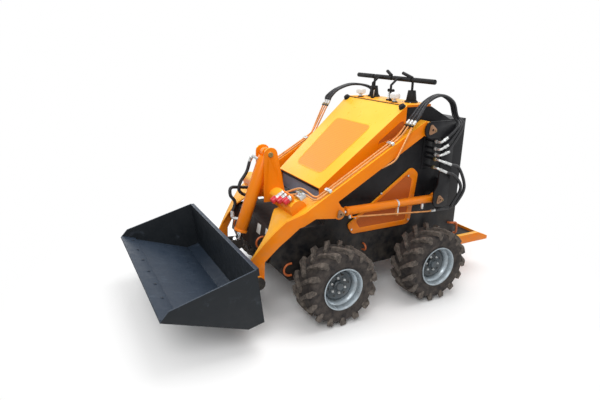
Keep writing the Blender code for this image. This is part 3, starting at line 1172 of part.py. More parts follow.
def build_hoses():
    """On each side a bulkhead with elbows and stubs, three hoses over the tower to the arm's pipes,
    and two that loop behind the tower to the lift cylinder."""
    rubber = make_material("hose_rubber", (0.015, 0.015, 0.016), 0.5, 0)
    near = FRAME_HALF + SEAT_GAP
    outer_x = ARM_INNER_X + ARM_WIDTH
    pipe_x = (outer_x - PIPE_INSET - PIPE_PITCH, outer_x - PIPE_INSET, outer_x + PIPE_OUTSIDE)
    places = [(row[0], row[1]) for row in (*ELBOWS, *STUBS)]
    low_y, high_y = min(y for y, z in places) - BULKHEAD_MARGIN, max(y for y, z in places) + BULKHEAD_MARGIN
    low_z, high_z = min(z for y, z in places) - BULKHEAD_MARGIN, max(z for y, z in places) + BULKHEAD_MARGIN
    lean = (places[0][0] - places[-1][0]) / (places[0][1] - places[-1][1])
    outline = [(low_y, low_z), (high_y - BULKHEAD_MARGIN, low_z), (high_y, high_z), (low_y + lean * BULKHEAD_MARGIN, high_z)]
    for side, sign in (("left", 1), ("right", -1)):
        arch = HOSE_ARCHES[side]
        start = Vector(PIPE_ENDS[side]) + pipe_way(side) * (PIPE_NUT_LENGTH + HOSE_GAP)
        straight = start + pipe_way(side) * PIPE_NUT_LENGTH

        def mirrored(points):
            return [(sign * x, y, z) for x, y, z in points]

        body = plate(f"hoses_{side}", outline, *sorted((sign * near, sign * (near + BULKHEAD_PLATE))))
        pieces = []
        for i, (y, z, end_y, end_z) in enumerate(ELBOWS):
            x = HOSE_TOP_X + i * HOSE_PITCH
            out_x = near + FITTING_REACH
            pieces.append(tube(f"elbow_{i}_{side}", mirrored([(near + SEAT_GAP, y, z), (out_x, y, z), (HOSE_OUT_X, end_y, end_z)]),
                               FITTING_RADIUS))
            route = [(pipe_x[i], *start), (pipe_x[i], *straight), *((x, py, pz) for py, pz in arch),
                     (x - HOSE_PITCH / 2, arch[-1][0] + i * HOSE_RADIUS, (arch[-1][1] + end_z) / 2 + HOSE_PITCH),
                     (HOSE_OUT_X, end_y, end_z)]
            pieces.append(tube(f"hose_{i}_{side}", mirrored(smooth_route(route, 2)), HOSE_RADIUS))
        for i, (y, z, end_y, end_z, loop_y) in enumerate(STUBS):
            pieces.append(tube(f"stub_{i}_{side}", mirrored([(near + SEAT_GAP, y, z), (near + FITTING_RADIUS * 2, y, z),
                                                            (STUB_END_X, end_y, end_z)]), FITTING_RADIUS))
            foot_y = LIFT_PIN_Y + EAR_RADIUS
            route = [(STUB_END_X, end_y, end_z), (HOSE_TOP_X, (end_y + 2 * loop_y) / 3, (end_z + LOOP_Z) / 2 + HOSE_PITCH),
                     (HOSE_TOP_X, loop_y, LOOP_Z), (HOSE_TOP_X, (foot_y + loop_y) / 2, LOOP_FOOT_Z + HOSE_RADIUS),
                     (LIFT_PIPE_X, LIFT_PIPE_REAR_Y + 2 * PIPE_NUT_LENGTH, LIFT_PIN_Z - LIFT_PIPE_DROP),
                     (LIFT_PIPE_X, LIFT_PIPE_REAR_Y + PIPE_NUT_LENGTH + HOSE_GAP, LIFT_PIN_Z - LIFT_PIPE_DROP)]
            if i:
                route[-2:] = [(HOSE_TOP_X, foot_y - HOSE_PITCH, LOOP_FOOT_Z + HOSE_RADIUS)]
            pieces.append(tube(f"lift_hose_{i}_{side}", mirrored(smooth_route(route, 2)), HOSE_RADIUS))
        join(body, *pieces)
        hang(assembly, body)
        finish(body, rubber)


def main():
    tyre_mesh = build_tyre_mesh()
    axle_z = -min(vert.co.z for vert in tyre_mesh.vertices)
    build_wheels(axle_z, tyre_mesh)
    build_axles(axle_z)
    build_frame(axle_z)
    build_tie_rings()
    build_engine()
    build_hood()
    build_side_covers()
    build_towers()
    arm_pivot = empty("arm_pivot", (0, ARM_PIVOT_Y, ARM_PIVOT_Z), assembly)
    build_arms(arm_pivot)
    build_cross_member(arm_pivot)
    build_pipes(arm_pivot)
    build_cylinders()
    bucket_pivot = empty("bucket_pivot", (0, BUCKET_PIN_Y, BUCKET_PIN_Z), assembly)
    build_bucket(bucket_pivot)
    build_attach_plate(bucket_pivot)
    build_hoses()
    build_platform()
    build_console()
    assembly.location.y = -(BUCKET_LIP_Y + PLATFORM_REAR_Y) / 2


clear_scene()
parts = new_collection("skid_steer_loader")
cutters = new_collection("cutters")
assembly = empty("assembly", (0, 0, 0))
main()
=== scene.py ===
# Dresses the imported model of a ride-on-behind skid steer loader for its render.
# Metres, +X to the machine's left, -Y to its front, +Z up.
import json
from math import atan2, cos, pi, radians, sin, tan

import bmesh
import bpy
from mathutils import Matrix, Vector


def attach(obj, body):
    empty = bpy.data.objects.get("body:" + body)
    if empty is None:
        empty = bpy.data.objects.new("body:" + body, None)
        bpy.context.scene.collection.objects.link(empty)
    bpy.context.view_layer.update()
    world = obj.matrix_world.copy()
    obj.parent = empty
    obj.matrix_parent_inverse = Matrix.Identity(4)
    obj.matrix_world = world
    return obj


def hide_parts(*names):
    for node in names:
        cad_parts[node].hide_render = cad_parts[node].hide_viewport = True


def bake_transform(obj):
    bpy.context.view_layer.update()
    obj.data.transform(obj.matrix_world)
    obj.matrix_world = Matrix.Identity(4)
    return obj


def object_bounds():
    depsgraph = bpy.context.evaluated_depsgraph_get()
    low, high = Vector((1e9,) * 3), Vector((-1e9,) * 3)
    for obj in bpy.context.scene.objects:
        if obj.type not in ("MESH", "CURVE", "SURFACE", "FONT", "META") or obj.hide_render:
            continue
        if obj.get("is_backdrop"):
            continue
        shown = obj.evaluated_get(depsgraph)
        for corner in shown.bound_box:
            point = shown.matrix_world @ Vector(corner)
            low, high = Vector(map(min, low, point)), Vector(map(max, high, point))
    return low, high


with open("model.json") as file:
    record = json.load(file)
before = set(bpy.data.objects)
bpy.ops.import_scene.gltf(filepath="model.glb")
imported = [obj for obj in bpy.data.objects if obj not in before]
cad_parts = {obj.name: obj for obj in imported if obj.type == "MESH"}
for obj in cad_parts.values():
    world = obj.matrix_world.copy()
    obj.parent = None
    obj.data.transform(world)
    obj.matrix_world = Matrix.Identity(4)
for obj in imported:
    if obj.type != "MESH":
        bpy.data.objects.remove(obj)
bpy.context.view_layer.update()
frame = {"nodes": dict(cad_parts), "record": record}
nodeBody = {node: body for body, nodes in frame["record"]["behaviour"]["bodies"].items() for node in nodes}

scene = bpy.context.scene
sides = {"left": 1, "right": -1}         # the sign of X on each side of the machine
print("loaded the frame")

# Camera and light

view = {"yaw": 61.912, "pitch": 17.496, "roll": 1.177, "lens": 29.13, "place": (2.840, -1.720, 1.663)}


def addCamera():
    yaw, pitch, roll = (radians(view[name]) for name in ("yaw", "pitch", "roll"))
    back = Vector((sin(yaw) * cos(pitch), -cos(yaw) * cos(pitch), sin(pitch)))
    right = Vector((cos(yaw), sin(yaw), 0))
    up = back.cross(right)
    across = right * cos(roll) + up * sin(roll)
    upward = up * cos(roll) - right * sin(roll)
    camera = bpy.data.objects.new("camera", bpy.data.cameras.new("camera"))
    camera.data.lens = view["lens"]
    camera.matrix_world = Matrix.Translation(view["place"]) @ Matrix((across, upward, back)).transposed().to_4x4()
    scene.collection.objects.link(camera)
    scene.camera = camera


def linear(hexColour):           # an sRGB hex value as the linear colour that a node takes
    shares = [int(hexColour[place:place + 2], 16) / 255 for place in (1, 3, 5)]
    return tuple(share / 12.92 if share <= 0.04045 else ((share + 0.055) / 1.055) ** 2.4 for share in shares) + (1,)


def addNode(tree, kind, sockets=None, links=None, **settings):   # one node with its settings and what feeds it
    node = tree.nodes.new("ShaderNode" + kind)
    for name, value in settings.items():
        setattr(node, name, value)
    for name, value in (sockets or {}).items():
        node.inputs[name].default_value = value
    for name, source in (links or {}).items():
        tree.links.new(source, node.inputs[name])
    return node


def combined(tree, operation, first, second):
    return addNode(tree, "Math", links={0: first, 1: second}, operation=operation).outputs[0]


# Each lamp: where it stands, how wide it is, its watts.
studio = {"lamps": {"key": ((3.2, -2.6, 3.6), 2.6, 96), "top": ((-0.3, 0.6, 4.4), 3.6, 112),
                    "fill": ((1.5, 4.2, 2.2), 2.6, 30), "far": ((-3.6, -1.4, 2.4), 2.6, 34)},
          "aim": (0, 0, 0.6), "worldLight": 0.5, "white": "#FFFFFF", "floorRadius": 9, "floorSides": 96,
          "floorRoughness": 0.9, "fadeFrom": 0.8, "fadeTo": 2.3}


def addLights():
    for name, (place, size, watts) in studio["lamps"].items():
        light = bpy.data.lights.new(name, "AREA")
        light.shape = "DISK"
        light.size = size
        light.energy = watts
        lamp = bpy.data.objects.new(name, light)
        lamp.location = place
        lamp.rotation_euler = (Vector(place) - Vector(studio["aim"])).to_track_quat("Z", "Y").to_euler()
        scene.collection.objects.link(lamp)


def seenDirectly(tree):          # 1 where the camera, a mirror or glass looks, 0 where light is worked out
    path = addNode(tree, "LightPath").outputs
    first = combined(tree, "MAXIMUM", path["Is Camera Ray"], path["Is Glossy Ray"])
    return combined(tree, "MAXIMUM", first, path["Is Transmission Ray"])


def addWorld():
    world = bpy.data.worlds.new("studio")
    world.use_nodes = True
    scene.world = world
    tree = world.node_tree
    tree.nodes.clear()
    white = linear(studio["white"])
    lit = addNode(tree, "Background", {"Color": white, "Strength": studio["worldLight"]})
    seen = addNode(tree, "Background", {"Color": white, "Strength": 1})
    mix = addNode(tree, "MixShader", links={0: seenDirectly(tree), 1: lit.outputs[0], 2: seen.outputs[0]})
    addNode(tree, "OutputWorld", links={"Surface": mix.outputs[0]})


def addFloor():
    mesh = bmesh.new()
    bmesh.ops.create_circle(mesh, cap_ends=True, segments=studio["floorSides"], radius=studio["floorRadius"])
    floor = bpy.data.objects.new("floor", bpy.data.meshes.new("floor"))
    mesh.to_mesh(floor.data)
    mesh.free()
    floor.data.materials.append(paleFloor())
    scene.collection.objects.link(floor)
    floor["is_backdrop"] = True


def paleFloor():                 # pale matt floor that fades into the white backdrop a few metres out
    material, tree, shader = newMaterial("paleFloor", studio["white"], {"Roughness": studio["floorRoughness"]})
    place = addNode(tree, "TexCoord").outputs["Object"]
    far = addNode(tree, "VectorMath", links={0: place}, operation="LENGTH").outputs["Value"]
    fade = addNode(tree, "MapRange", {"From Min": studio["fadeFrom"], "From Max": studio["fadeTo"]}, {"Value": far},
                   interpolation_type="SMOOTHSTEP").outputs[0]
    clear = addNode(tree, "BsdfTransparent")
    mix = addNode(tree, "MixShader", links={0: fade, 1: shader.outputs[0], 2: clear.outputs[0]})
    tree.links.new(mix.outputs[0], tree.nodes["Material Output"].inputs["Surface"])
    return material


def newMaterial(name, colour, sockets):
    material = bpy.data.materials.new(name)
    material.use_nodes = True
    shader = material.node_tree.nodes["Principled BSDF"]
    shader.inputs["Base Color"].default_value = linear(colour)
    for socket, value in sockets.items():
        shader.inputs[socket].default_value = value
    return material, material.node_tree, shader


scene.view_settings.view_transform = "Standard"
addCamera()
addLights()
addWorld()
addFloor()
print("camera, lights and floor are in place")

# Finishes. A pattern's scale is one over its real size in metres, so 1000 over the millimetres.


def perMetre(millimetres):
    return 1000 / millimetres


def noise(tree, millimetres, detail=3, stretch=None):
    place = addNode(tree, "TexCoord").outputs["Object"]
    if stretch:
        place = addNode(tree, "Mapping", {"Scale": stretch}, {"Vector": place}).outputs[0]
    return addNode(tree, "TexNoise", {"Scale": perMetre(millimetres), "Detail": detail, "Roughness": 0.6},
                   {"Vector": place}).outputs["Fac"]


def between(tree, source, low, high, start=0.0, end=1.0):
    return addNode(tree, "MapRange", {"From Min": low, "From Max": high, "To Min": start, "To Max": end},
                   {"Value": source}).outputs[0]


def mixColour(tree, share, first, second):
    mix = addNode(tree, "Mix", data_type="RGBA")
    tree.links.new(share, mix.inputs[0])
    for socket, value in ((6, first), (7, second)):
        if isinstance(value, str):
            mix.inputs[socket].default_value = linear(value)
        else:
            tree.links.new(value, mix.inputs[socket])
    return mix.outputs[2]


def bump(tree, shader, height, millimetres, strength=1.0):
    node = addNode(tree, "Bump", {"Distance": millimetres / 1000, "Strength": strength}, {"Height": height})
    tree.links.new(node.outputs[0], shader.inputs["Normal"])


def lowDust(tree, reach, strength):      # dust that thins out upward, broken up by a coarse noise
    height = addNode(tree, "SeparateXYZ", links={0: addNode(tree, "TexCoord").outputs["Object"]}).outputs["Z"]
    fade = between(tree, height, 0, reach, strength, 0)
    return combined(tree, "MULTIPLY", fade, between(tree, noise(tree, 60, 5), 0.35, 0.7))


# What a kind of finish does: colour patches (mm, detail, from, to, share of the second colour there), shine (mm,
# detail, roughness less and more), grain (mm, detail, depth in mm, strength) and dust (reach, strength, colour).
kinds = {
    # Powder coat: a thick smooth paint with a faint orange-peel ripple (3 mm, drawn as coarse as it shows)
    # and a thin film of site dust low down.
    "powderCoat": {"patches": (240, 2, 0.3, 0.7, 1, 0), "shine": (35, 4, -0.06, 0.12), "grain": (3, 2, 0.25, 0.12),
                   "dust": (0.9, 0.45, "#8C7B66"),
                   "sockets": {"Roughness": 0.34, "Coat Weight": 0.05, "Coat Roughness": 0.3,
                               "Specular IOR Level": 0.2}},
    # Satin black chassis enamel, with greyer dusty patches.
    "enamel": {"patches": (90, 5, 0.42, 0.75, 0, 0.25), "shine": (30, 4, -0.08, 0.14), "grain": (4, 2, 0.3, 0.15),
               "dust": (0.8, 0.5, "#6E655A"), "sockets": {"Roughness": 0.42, "Specular IOR Level": 0.2}},
    # Bare or plated metal: roughness and a fine grain vary over it.
    "metal": {"patches": (40, 4, 0.4, 0.75, 0, 0.4), "shine": (18, 5, -0.07, 0.15), "sockets": {}},
    # Vulcanised rubber, matte and dark, with dry soil dust in its pores.
    "tyre": {"patches": (38, 4, 0.3, 0.75, 0, 0.75), "grain": (2.5, 4, 0.6, 0.35),
             "sockets": {"Roughness": 0.85, "Specular IOR Level": 0.25}},
    # Synthetic rubber hydraulic hose: smooth wrapped cover, satin, with a faint cloth-wrap print along it.
    "hose": {"patches": (22, 4, 0.4, 0.75, 0, 0.45), "shine": (14, 3, -0.08, 0.12), "grain": (1.8, 2, 0.15, 0.15),
             "sockets": {"Roughness": 0.46, "Specular IOR Level": 0.45}},
    # Injection-moulded plastic: even colour that is a little deeper in patches, with a fine moulded grain.
    "plastic": {"patches": (30, 3, 0.35, 0.7, 1, 0), "shine": (12, 3, -0.05, 0.1), "grain": (1.5, 2, 0.08, 0.1),
                "sockets": {"Roughness": 0.32, "Coat Weight": 0.2}},
}
kinds["lug"] = kinds["tyre"] | {"patches": (24, 4, 0.3, 0.7, 0, 1)}      # the tread's worn tops are greyer


def madeLike(kind, name, colour, second, sockets=None, grain=None):
    habit = kinds[kind]
    sockets = habit["sockets"] | (sockets or {})
    material, tree, shader = newMaterial(name, colour, sockets)
    size, detail, low, high, start, end = habit["patches"]
    tone = mixColour(tree, between(tree, noise(tree, size, detail), low, high, start, end), colour, second)
    if "dust" in habit:
        reach, strength, dust = habit["dust"]
        tone = mixColour(tree, lowDust(tree, reach, strength), tone, dust)
    tree.links.new(tone, shader.inputs["Base Color"])
    if "shine" in habit:
        size, detail, less, more = habit["shine"]
        middle = sockets["Roughness"]
        tree.links.new(between(tree, noise(tree, size, detail), 0.3, 0.7, middle + less, middle + more),
                       shader.inputs["Roughness"])
    size, detail, depth, strength = grain or habit["grain"]
    bump(tree, shader, noise(tree, size, detail), depth, strength)
    return material


def metalLike(name, colour, metallic, roughness, grain, depth=0.3):
    return madeLike("metal", name, colour, "#5B5148", {"Metallic": metallic, "Roughness": roughness},
                    (grain, 3, depth, 0.2))


def enamel(name, colour, roughness):
    return madeLike("enamel", name, colour, "#3A3A3C", {"Roughness": roughness})


def bucketPaint(name, colour, worn):
    # Blue-grey paint rubbed by soil: long scratches along the digging way show the bare grey under it.
    material, tree, shader = newMaterial(name, colour, {"Specular IOR Level": 0.25})
    scratch = between(tree, noise(tree, 9, 5, (1, 0.12, 0.12)), 0.56, 0.66)
    patch = between(tree, noise(tree, 130, 4), 0.42, 0.62)
    tone = mixColour(tree, combined(tree, "MULTIPLY", scratch, patch), colour, worn)
    tree.links.new(tone, shader.inputs["Base Color"])
    tree.links.new(between(tree, noise(tree, 50, 4), 0.3, 0.7, 0.36, 0.6), shader.inputs["Roughness"])
    bump(tree, shader, noise(tree, 12, 5), 0.5, 0.25)
    return material


def perforatedSheet(name, colour, hole, scale):
    # Powder-coated perforated sheet. The real holes are about 3 mm apart, drawn at 8 mm so that they show.
    # The pattern is flat: it takes the two coordinates that lie in the sheet.
    material, tree, shader = newMaterial(name, colour, {"Roughness": 0.45, "Specular IOR Level": 0.3})
    place = addNode(tree, "TexCoord").outputs["Object"]
    place = addNode(tree, "Mapping", {"Scale": scale}, {"Vector": place}).outputs[0]
    parts = addNode(tree, "SeparateXYZ", links={0: place}).outputs
    first = parts["X"] if scale[0] else parts["Z"]
    flat = addNode(tree, "CombineXYZ", links={"X": first, "Y": parts["Y"]}).outputs[0]
    cells = addNode(tree, "TexVoronoi", {"Scale": 1.0, "Randomness": 0.0}, {"Vector": flat}, voronoi_dimensions="2D")
    # The holes take the second, darker colour: painted shade seen through them.
    holes = (cells.outputs["Distance"], 0.24, 0.34)      # a hole's edge, as shares of a cell
    tree.links.new(mixColour(tree, between(tree, *holes, 1, 0), colour, hole), shader.inputs["Base Color"])
    bump(tree, shader, between(tree, *holes), 0.6, 0.4)
    return material


finish = {
    "orange": madeLike("powderCoat", "orangePowderCoat", "#F88A06", "#F07E03"),
    # a lighter copy of the orange for faces that face up: a painted lit top
    "yellow": madeLike("powderCoat", "orangePowderCoatPaintedLit", "#FFB62A", "#FBAC20"),
    # the hood's faces that face up take this lighter copy of the orange: a painted lit top
    "hoodTop": madeLike("powderCoat", "hoodPowderCoatPaintedLitTop", "#FFC440", "#FBB930", {"Roughness": 0.3}),
    "black": enamel("blackEnamel", "#151518", 0.42),
    "greyPanel": enamel("greyBlueEnamel", "#7C879A", 0.5),
    "grip": enamel("mouldedRubberGrip", "#151516", 0.62),
    # near-black put on holes and sockets as painted shade; also the black rubber of the wheel valves
    "holeShadeAndValveBlack": enamel("deepShadowBlack", "#0E0E0F", 0.7),
    "axle": metalLike("axleSteel", "#232325", 0.3, 0.5, 6),
    "engine": metalLike("castIron", "#2E2E30", 0.4, 0.6, 4),
    "rim": metalLike("silverWheelPaint", "#A4AFB6", 0.45, 0.3, 5),
    "rimDark": metalLike("greyWheelDisc", "#4C5459", 0.3, 0.45, 5),
    "zinc": metalLike("brightZincPlate", "#D2D4D3", 0.7, 0.3, 3, 0.1),
    "brass": metalLike("yellowZincPlate", "#8F7F55", 0.85, 0.36, 3, 0.1),
    "chrome": metalLike("hardChrome", "#D8DADB", 1.0, 0.12, 6, 0.02),
    "copper": metalLike("copperPaintedPipe", "#E39C58", 0.25, 0.32, 5, 0.1),
    "ring": metalLike("orangeBrownRing", "#C4622A", 0.2, 0.45, 4, 0.1),
    "pinHead": metalLike("bronzePinHead", "#9A7355", 0.6, 0.4, 3, 0.1),
    "rubber": madeLike("tyre", "tyreRubber", "#242223", "#5B534D"),
    "lug": madeLike("lug", "dustyLugRubber", "#383432", "#70675F"),
    "hose": madeLike("hose", "hydraulicHose", "#17171A", "#26262B"),
    "guard": madeLike("plastic", "spiralWrapPlastic", "#2B2B34", "#1E1E24", {"Roughness": 0.36}),
    "redCap": madeLike("plastic", "redCapPlastic", "#E0182E", "#C3122A"),
    "capSilver": madeLike("plastic", "silverCapPaint", "#E8E8E6", "#D9DADA", {"Roughness": 0.35}),
    "paleLabel": madeLike("plastic", "paleBarePlate", "#D9DAD6", "#CFCFCB", {"Roughness": 0.5}),
    # the bucket's faces that face up take the blue-grey paint and its other faces the near-black copy below it:
    # painted shade
    "bucketInside": bucketPaint("bucketBlueGreyPaint", "#2A3543", "#45505D"),
    "bucketOutside": bucketPaint("bucketPaintedShadePaint", "#1A1E22", "#343A41"),
    # Both sheets are darker than the paint around them, and their holes darker still: the holes' colour is painted
    # shade.
    "perforated": perforatedSheet("perforatedTopSheet", "#EE9A2E", "#CF7C1C", (perMetre(8), perMetre(10.4), 0)),
    "sidePerforated": perforatedSheet("perforatedSideSheet", "#C4601C", "#9C4711", (0, perMetre(9), perMetre(8))),
}
print("finishes are made")

# New pieces are built from operator shapes, each made at the origin and then laid between two points.

axleToMiddle = -0.219            # the front axle stands this far from the middle of the machine's box
aboveFloor = Vector((0, 0, 1))


def spot(x, y, z):               # a place measured from the middle of the front axle line, on the ground
    return Vector((x, y + axleToMiddle, z))


def mirrored(sign, x, y, z):
    return Vector((sign * x, y, z))


def graft(mesh, part, matrix, paint):    # moves one shape into place and adds it to a piece
    bmesh.ops.remove_doubles(part, verts=part.verts, dist=0.00001)
    bmesh.ops.recalc_face_normals(part, faces=part.faces)
    bmesh.ops.transform(part, matrix=matrix, verts=part.verts)
    for face in part.faces:
        face.material_index = paint
    carrier = bpy.data.meshes.new("carrier")
    part.to_mesh(carrier)
    part.free()
    mesh.from_mesh(carrier)
    bpy.data.meshes.remove(carrier)


def laid(start, end):            # turns +Z at the origin into the line from start towards end
    turn = aboveFloor.rotation_difference(end - start).to_matrix().to_4x4()
    return Matrix.Translation(start) @ turn


def softenEdges(part, width, angle=25, segments=2):
    edges = [edge for edge in part.edges if len(edge.link_faces) == 2 and edge.calc_face_angle() > radians(angle)]
    bmesh.ops.bevel(part, geom=edges, offset=width, segments=segments, affect="EDGES", profile=0.5, material=-1)


def addRod(mesh, start, step, radius, sides=24, edge=0.0, paint=0):
    part = bmesh.new()
    bmesh.ops.create_cone(part, cap_ends=True, segments=sides, radius1=radius, radius2=radius, depth=step.length)
    bmesh.ops.translate(part, vec=(0, 0, step.length / 2), verts=part.verts)
    if edge:
        softenEdges(part, edge, 50)
    graft(mesh, part, laid(start, start + step), paint)


def addNut(mesh, start, step, radius, paint=1, edge=0.0008):
    addRod(mesh, start, step, radius, 6, edge, paint)


def addBlock(mesh, centre, size, edge=0.001, turn=None, paint=0):
    part = bmesh.new()
    bmesh.ops.create_cube(part, size=1)
    bmesh.ops.scale(part, vec=size, verts=part.verts)
    if edge:
        softenEdges(part, edge)
    graft(mesh, part, Matrix.Translation(centre) @ (turn or Matrix.Identity(4)), paint)


# A turned shape's profile: share of its length, radius as a share of the scale.
def addTurned(mesh, start, step, profile, scale=1, sides=28, paint=0):
    part = bmesh.new()
    ring = [part.verts.new((radius * scale, 0, share * step.length)) for share, radius in profile]
    edges = [part.edges.new(pair) for pair in zip(ring, ring[1:])]
    bmesh.ops.spin(part, geom=ring + edges, cent=(0, 0, 0), axis=(0, 0, 1), angle=2 * pi, steps=sides, use_merge=True)
    graft(mesh, part, laid(start, start + step), paint)


def addTurnedAboutX(mesh, profile, paint, steps=72):     # a closed section: place along X, radius
    part = bmesh.new()
    ring = [part.verts.new((x, 0, radius)) for x, radius in profile]
    edges = [part.edges.new(pair) for pair in zip(ring, ring[1:] + ring[:1])]
    bmesh.ops.spin(part, geom=ring + edges, cent=(0, 0, 0), axis=(1, 0, 0), angle=2 * pi, steps=steps, use_merge=True)
    graft(mesh, part, Matrix.Identity(4), paint)


def smoothRoute(places, steps=8):        # points of a smooth curve through places
    spots = [2 * places[0] - places[1], *places, 2 * places[-1] - places[-2]]
    route = []
    for a, b, c, d in zip(spots, spots[1:], spots[2:], spots[3:]):
        for step in range(steps):
            t = step / steps
            route.append((2 * b + (c - a) * t + (2 * a - 5 * b + 4 * c - d) * t ** 2
                          + (3 * b - a - 3 * c + d) * t ** 3) / 2)
    route.append(spots[-2])
    return route


def arc(start, corner, end, steps):
    shares = [step / steps for step in range(steps + 1)]
    return [start.lerp(corner, t).lerp(corner.lerp(end, t), t) for t in shares]


def rounded(places, radius):             # a bent pipe's route: straight runs joined by arcs
    route = [places[0]]
    for before, corner, after in zip(places, places[1:], places[2:]):
        reach = min(radius, (corner - before).length * 0.45, (after - corner).length * 0.45)
        start = corner + (before - corner).normalized() * reach
        end = corner + (after - corner).normalized() * reach
        route += arc(start, corner, end, 5)
    return route + [places[-1]]


def addTube(mesh, route, radius, paint=0, smoothness=3):
    curve = bpy.data.curves.new("route", "CURVE")
    curve.dimensions = "3D"
    curve.bevel_depth = radius
    curve.bevel_resolution = smoothness
    curve.use_fill_caps = True
    spline = curve.splines.new("POLY")
    spline.points.add(len(route) - 1)
    for point, place in zip(spline.points, route):
        point.co = (*place, 1)
    carrier = bpy.data.objects.new("carrier", curve)
    shape = bpy.data.meshes.new_from_object(carrier)
    part = bmesh.new()
    part.from_mesh(shape)
    bpy.data.objects.remove(carrier)
    bpy.data.curves.remove(curve)
    bpy.data.meshes.remove(shape)
    graft(mesh, part, Matrix.Identity(4), paint)


def placePiece(name, mesh, finishes, body, nodes, blend=None):
    piece = bpy.data.objects.new(name, bpy.data.meshes.new(name))
    mesh.to_mesh(piece.data)
    mesh.free()
    for choice in finishes:
        piece.data.materials.append(finish[choice])
    scene.collection.objects.link(piece)
    if blend:
        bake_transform(piece)
    else:
        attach(piece, body)
    if nodes:
        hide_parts(*nodes)
    return piece


def finishPiece(name, mesh, finishes, body, crease=30, nodes=(), blend=None):
    for face in mesh.faces:
        face.smooth = True
    piece = placePiece(name, mesh, finishes, body, nodes, blend)
    piece.data.set_sharp_from_angle(angle=radians(crease))


# Tyres and rims

# Side: share of the half width, depth under the tread's ground. Bead: share, height over the bead.
# Lug stations: share of the half width, share of the lug's height, lean in radians, width in metres.
tyre = {"ground": 0.2318, "halfWidth": 0.1092, "lugs": 15, "lugHeight": 0.022, "height": 0.254, "steps": 90,
        "centreX": 0.5175, "axles": {"front": 0, "rear": 0.761}, "turned": {"front": 7, "rear": 19},
        "side": ((0, 0), (0.50, 0.001), (0.80, 0.006), (0.91, 0.015), (0.955, 0.032), (0.965, 0.050), (0.955, 0.062),
                 (0.965, 0.064), (0.955, 0.066), (0.93, 0.078)),
        "bead": 0.131, "beadSide": ((0.89, 0.010), (0.89, 0.004), (0.86, -0.002)),
        "stations": ((0.03, 1, 0, 0.022), (0.30, 1, 0.10, 0.022), (0.60, 0.99, 0.205, 0.026),
                     (0.86, 0.95, 0.275, 0.034), (0.985, 0.62, 0.305, 0.038), (0.985, -0.55, 0.315, 0.032),
                     (0.955, -1.9, 0.320, 0.022)),
        "lugTop": 0.5, "lugFoot": 0.66, "footIn": 0.94, "footUnder": 0.006, "footDepth": 0.010, "treadRise": 0.7,
        "edge": 0.0014}


def tyreShape():                 # about the X axis, at the origin
    mesh = bmesh.new()
    half, ground = tyre["halfWidth"], tyre["ground"]
    side = [(share * half, ground - depth) for share, depth in tyre["side"]]
    side += [(share * half, tyre["bead"] + height) for share, height in tyre["beadSide"]]
    addTurnedAboutX(mesh, [(-x, radius) for x, radius in reversed(side[1:])] + side, 0, tyre["steps"])
    for row, shift in ((1, 0), (-1, 0.5)):
        for number in range(tyre["lugs"]):
            addLug(mesh, row, 2 * pi * (number + shift) / tyre["lugs"])
    return mesh


def addLug(mesh, row, turn):     # one leaning bar from near the middle out over the shoulder
    part = bmesh.new()
    half, ground = tyre["halfWidth"], tyre["ground"]
    rings = []
    for share, rise, lean, wide in tyre["stations"]:
        radius = ground + tyre["lugHeight"] * rise
        foot, depth = radius, -tyre["footDepth"]
        if rise > 0:
            foot, depth = min(ground - tyre["footUnder"], radius - tyre["footDepth"]), 0
        footX = (share if rise > tyre["treadRise"] else tyre["footIn"]) * half + depth
        corners = [(share * half, radius, side * tyre["lugTop"]) for side in (-1, 1)]
        corners += [(footX, foot, side * tyre["lugFoot"]) for side in (1, -1)]
        angles = [lean + share * wide / ground for x, reach, share in corners]
        rings.append([part.verts.new((row * x, reach * sin(angle), reach * cos(angle)))
                      for (x, reach, share), angle in zip(corners, angles)])
    for first, second in zip(rings, rings[1:]):
        for corner, after in ((0, 1), (1, 2), (0, 3), (3, 2)):
            part.faces.new((first[corner], first[after], second[after], second[corner]))
    for ring in (rings[0], rings[-1]):
        part.faces.new(ring)
    bmesh.ops.recalc_face_normals(part, faces=part.faces)
    softenEdges(part, tyre["edge"], 35, 1)
    graft(mesh, part, Matrix.Rotation(turn, 4, "X"), 1)


# Section: side, distance in from that side, the radius it belongs to, distance from that radius.
rim = {"halfWidth": 0.105, "flange": 0.1375, "seat": 0.127, "well": 0.106,
       "section": ((1, 0, "flange", 0), (1, 0.004, "flange", 0), (1, 0.010, "seat", 0), (1, 0.034, "seat", -0.002),
                   (1, 0.042, "well", 0.008), (1, 0.062, "well", 0), (-1, 0.055, "well", 0),
                   (-1, 0.036, "seat", -0.002), (-1, 0.010, "seat", 0), (-1, 0.004, "flange", 0),
                   (-1, 0, "flange", 0), (-1, 0, "flange", -0.007),
                   (-1, 0.008, "seat", -0.004), (-1, 0.038, "seat", -0.007), (-1, 0.055, "well", -0.004),
                   (1, 0.062, "well", -0.004), (1, 0.044, "well", 0.004), (1, 0.036, "seat", -0.007),
                   (1, 0.012, "seat", -0.004), (1, 0, "flange", -0.007)),
       "disc": ((0.020, 0.103), (0.042, 0.097), (0.046, 0.086), (0.034, 0.070), (0.030, 0.064), (0.030, 0)),
       "discSheet": (0.005, 0.003), "face": 0.030,
       "hub": 0.034, "hubDepth": 0.038, "hubBack": 0.002,
       "hubProfile": ((0, 0), (0, 1), (0.45, 0.97), (0.62, 0.80), (0.86, 0.76), (1, 0.66), (1, 0)),
       "nuts": 6, "nutOut": -0.001, "nutCircle": 0.052, "nut": 0.0085, "nutDepth": 0.015, "studDepth": 0.007,
       "holeCircle": 0.080, "hole": 0.0105, "holeOut": 0.0085, "holeDepth": 0.0006,
       "valve": (0.059, 0, 0.110), "valveStep": (0.036, 0, -0.012),
       "valveProfile": ((0, 0), (0, 0.007), (0.2, 0.006), (0.35, 0.0036), (0.8, 0.0036), (0.8, 0.0045), (1, 0.0045),
                        (1, 0))}


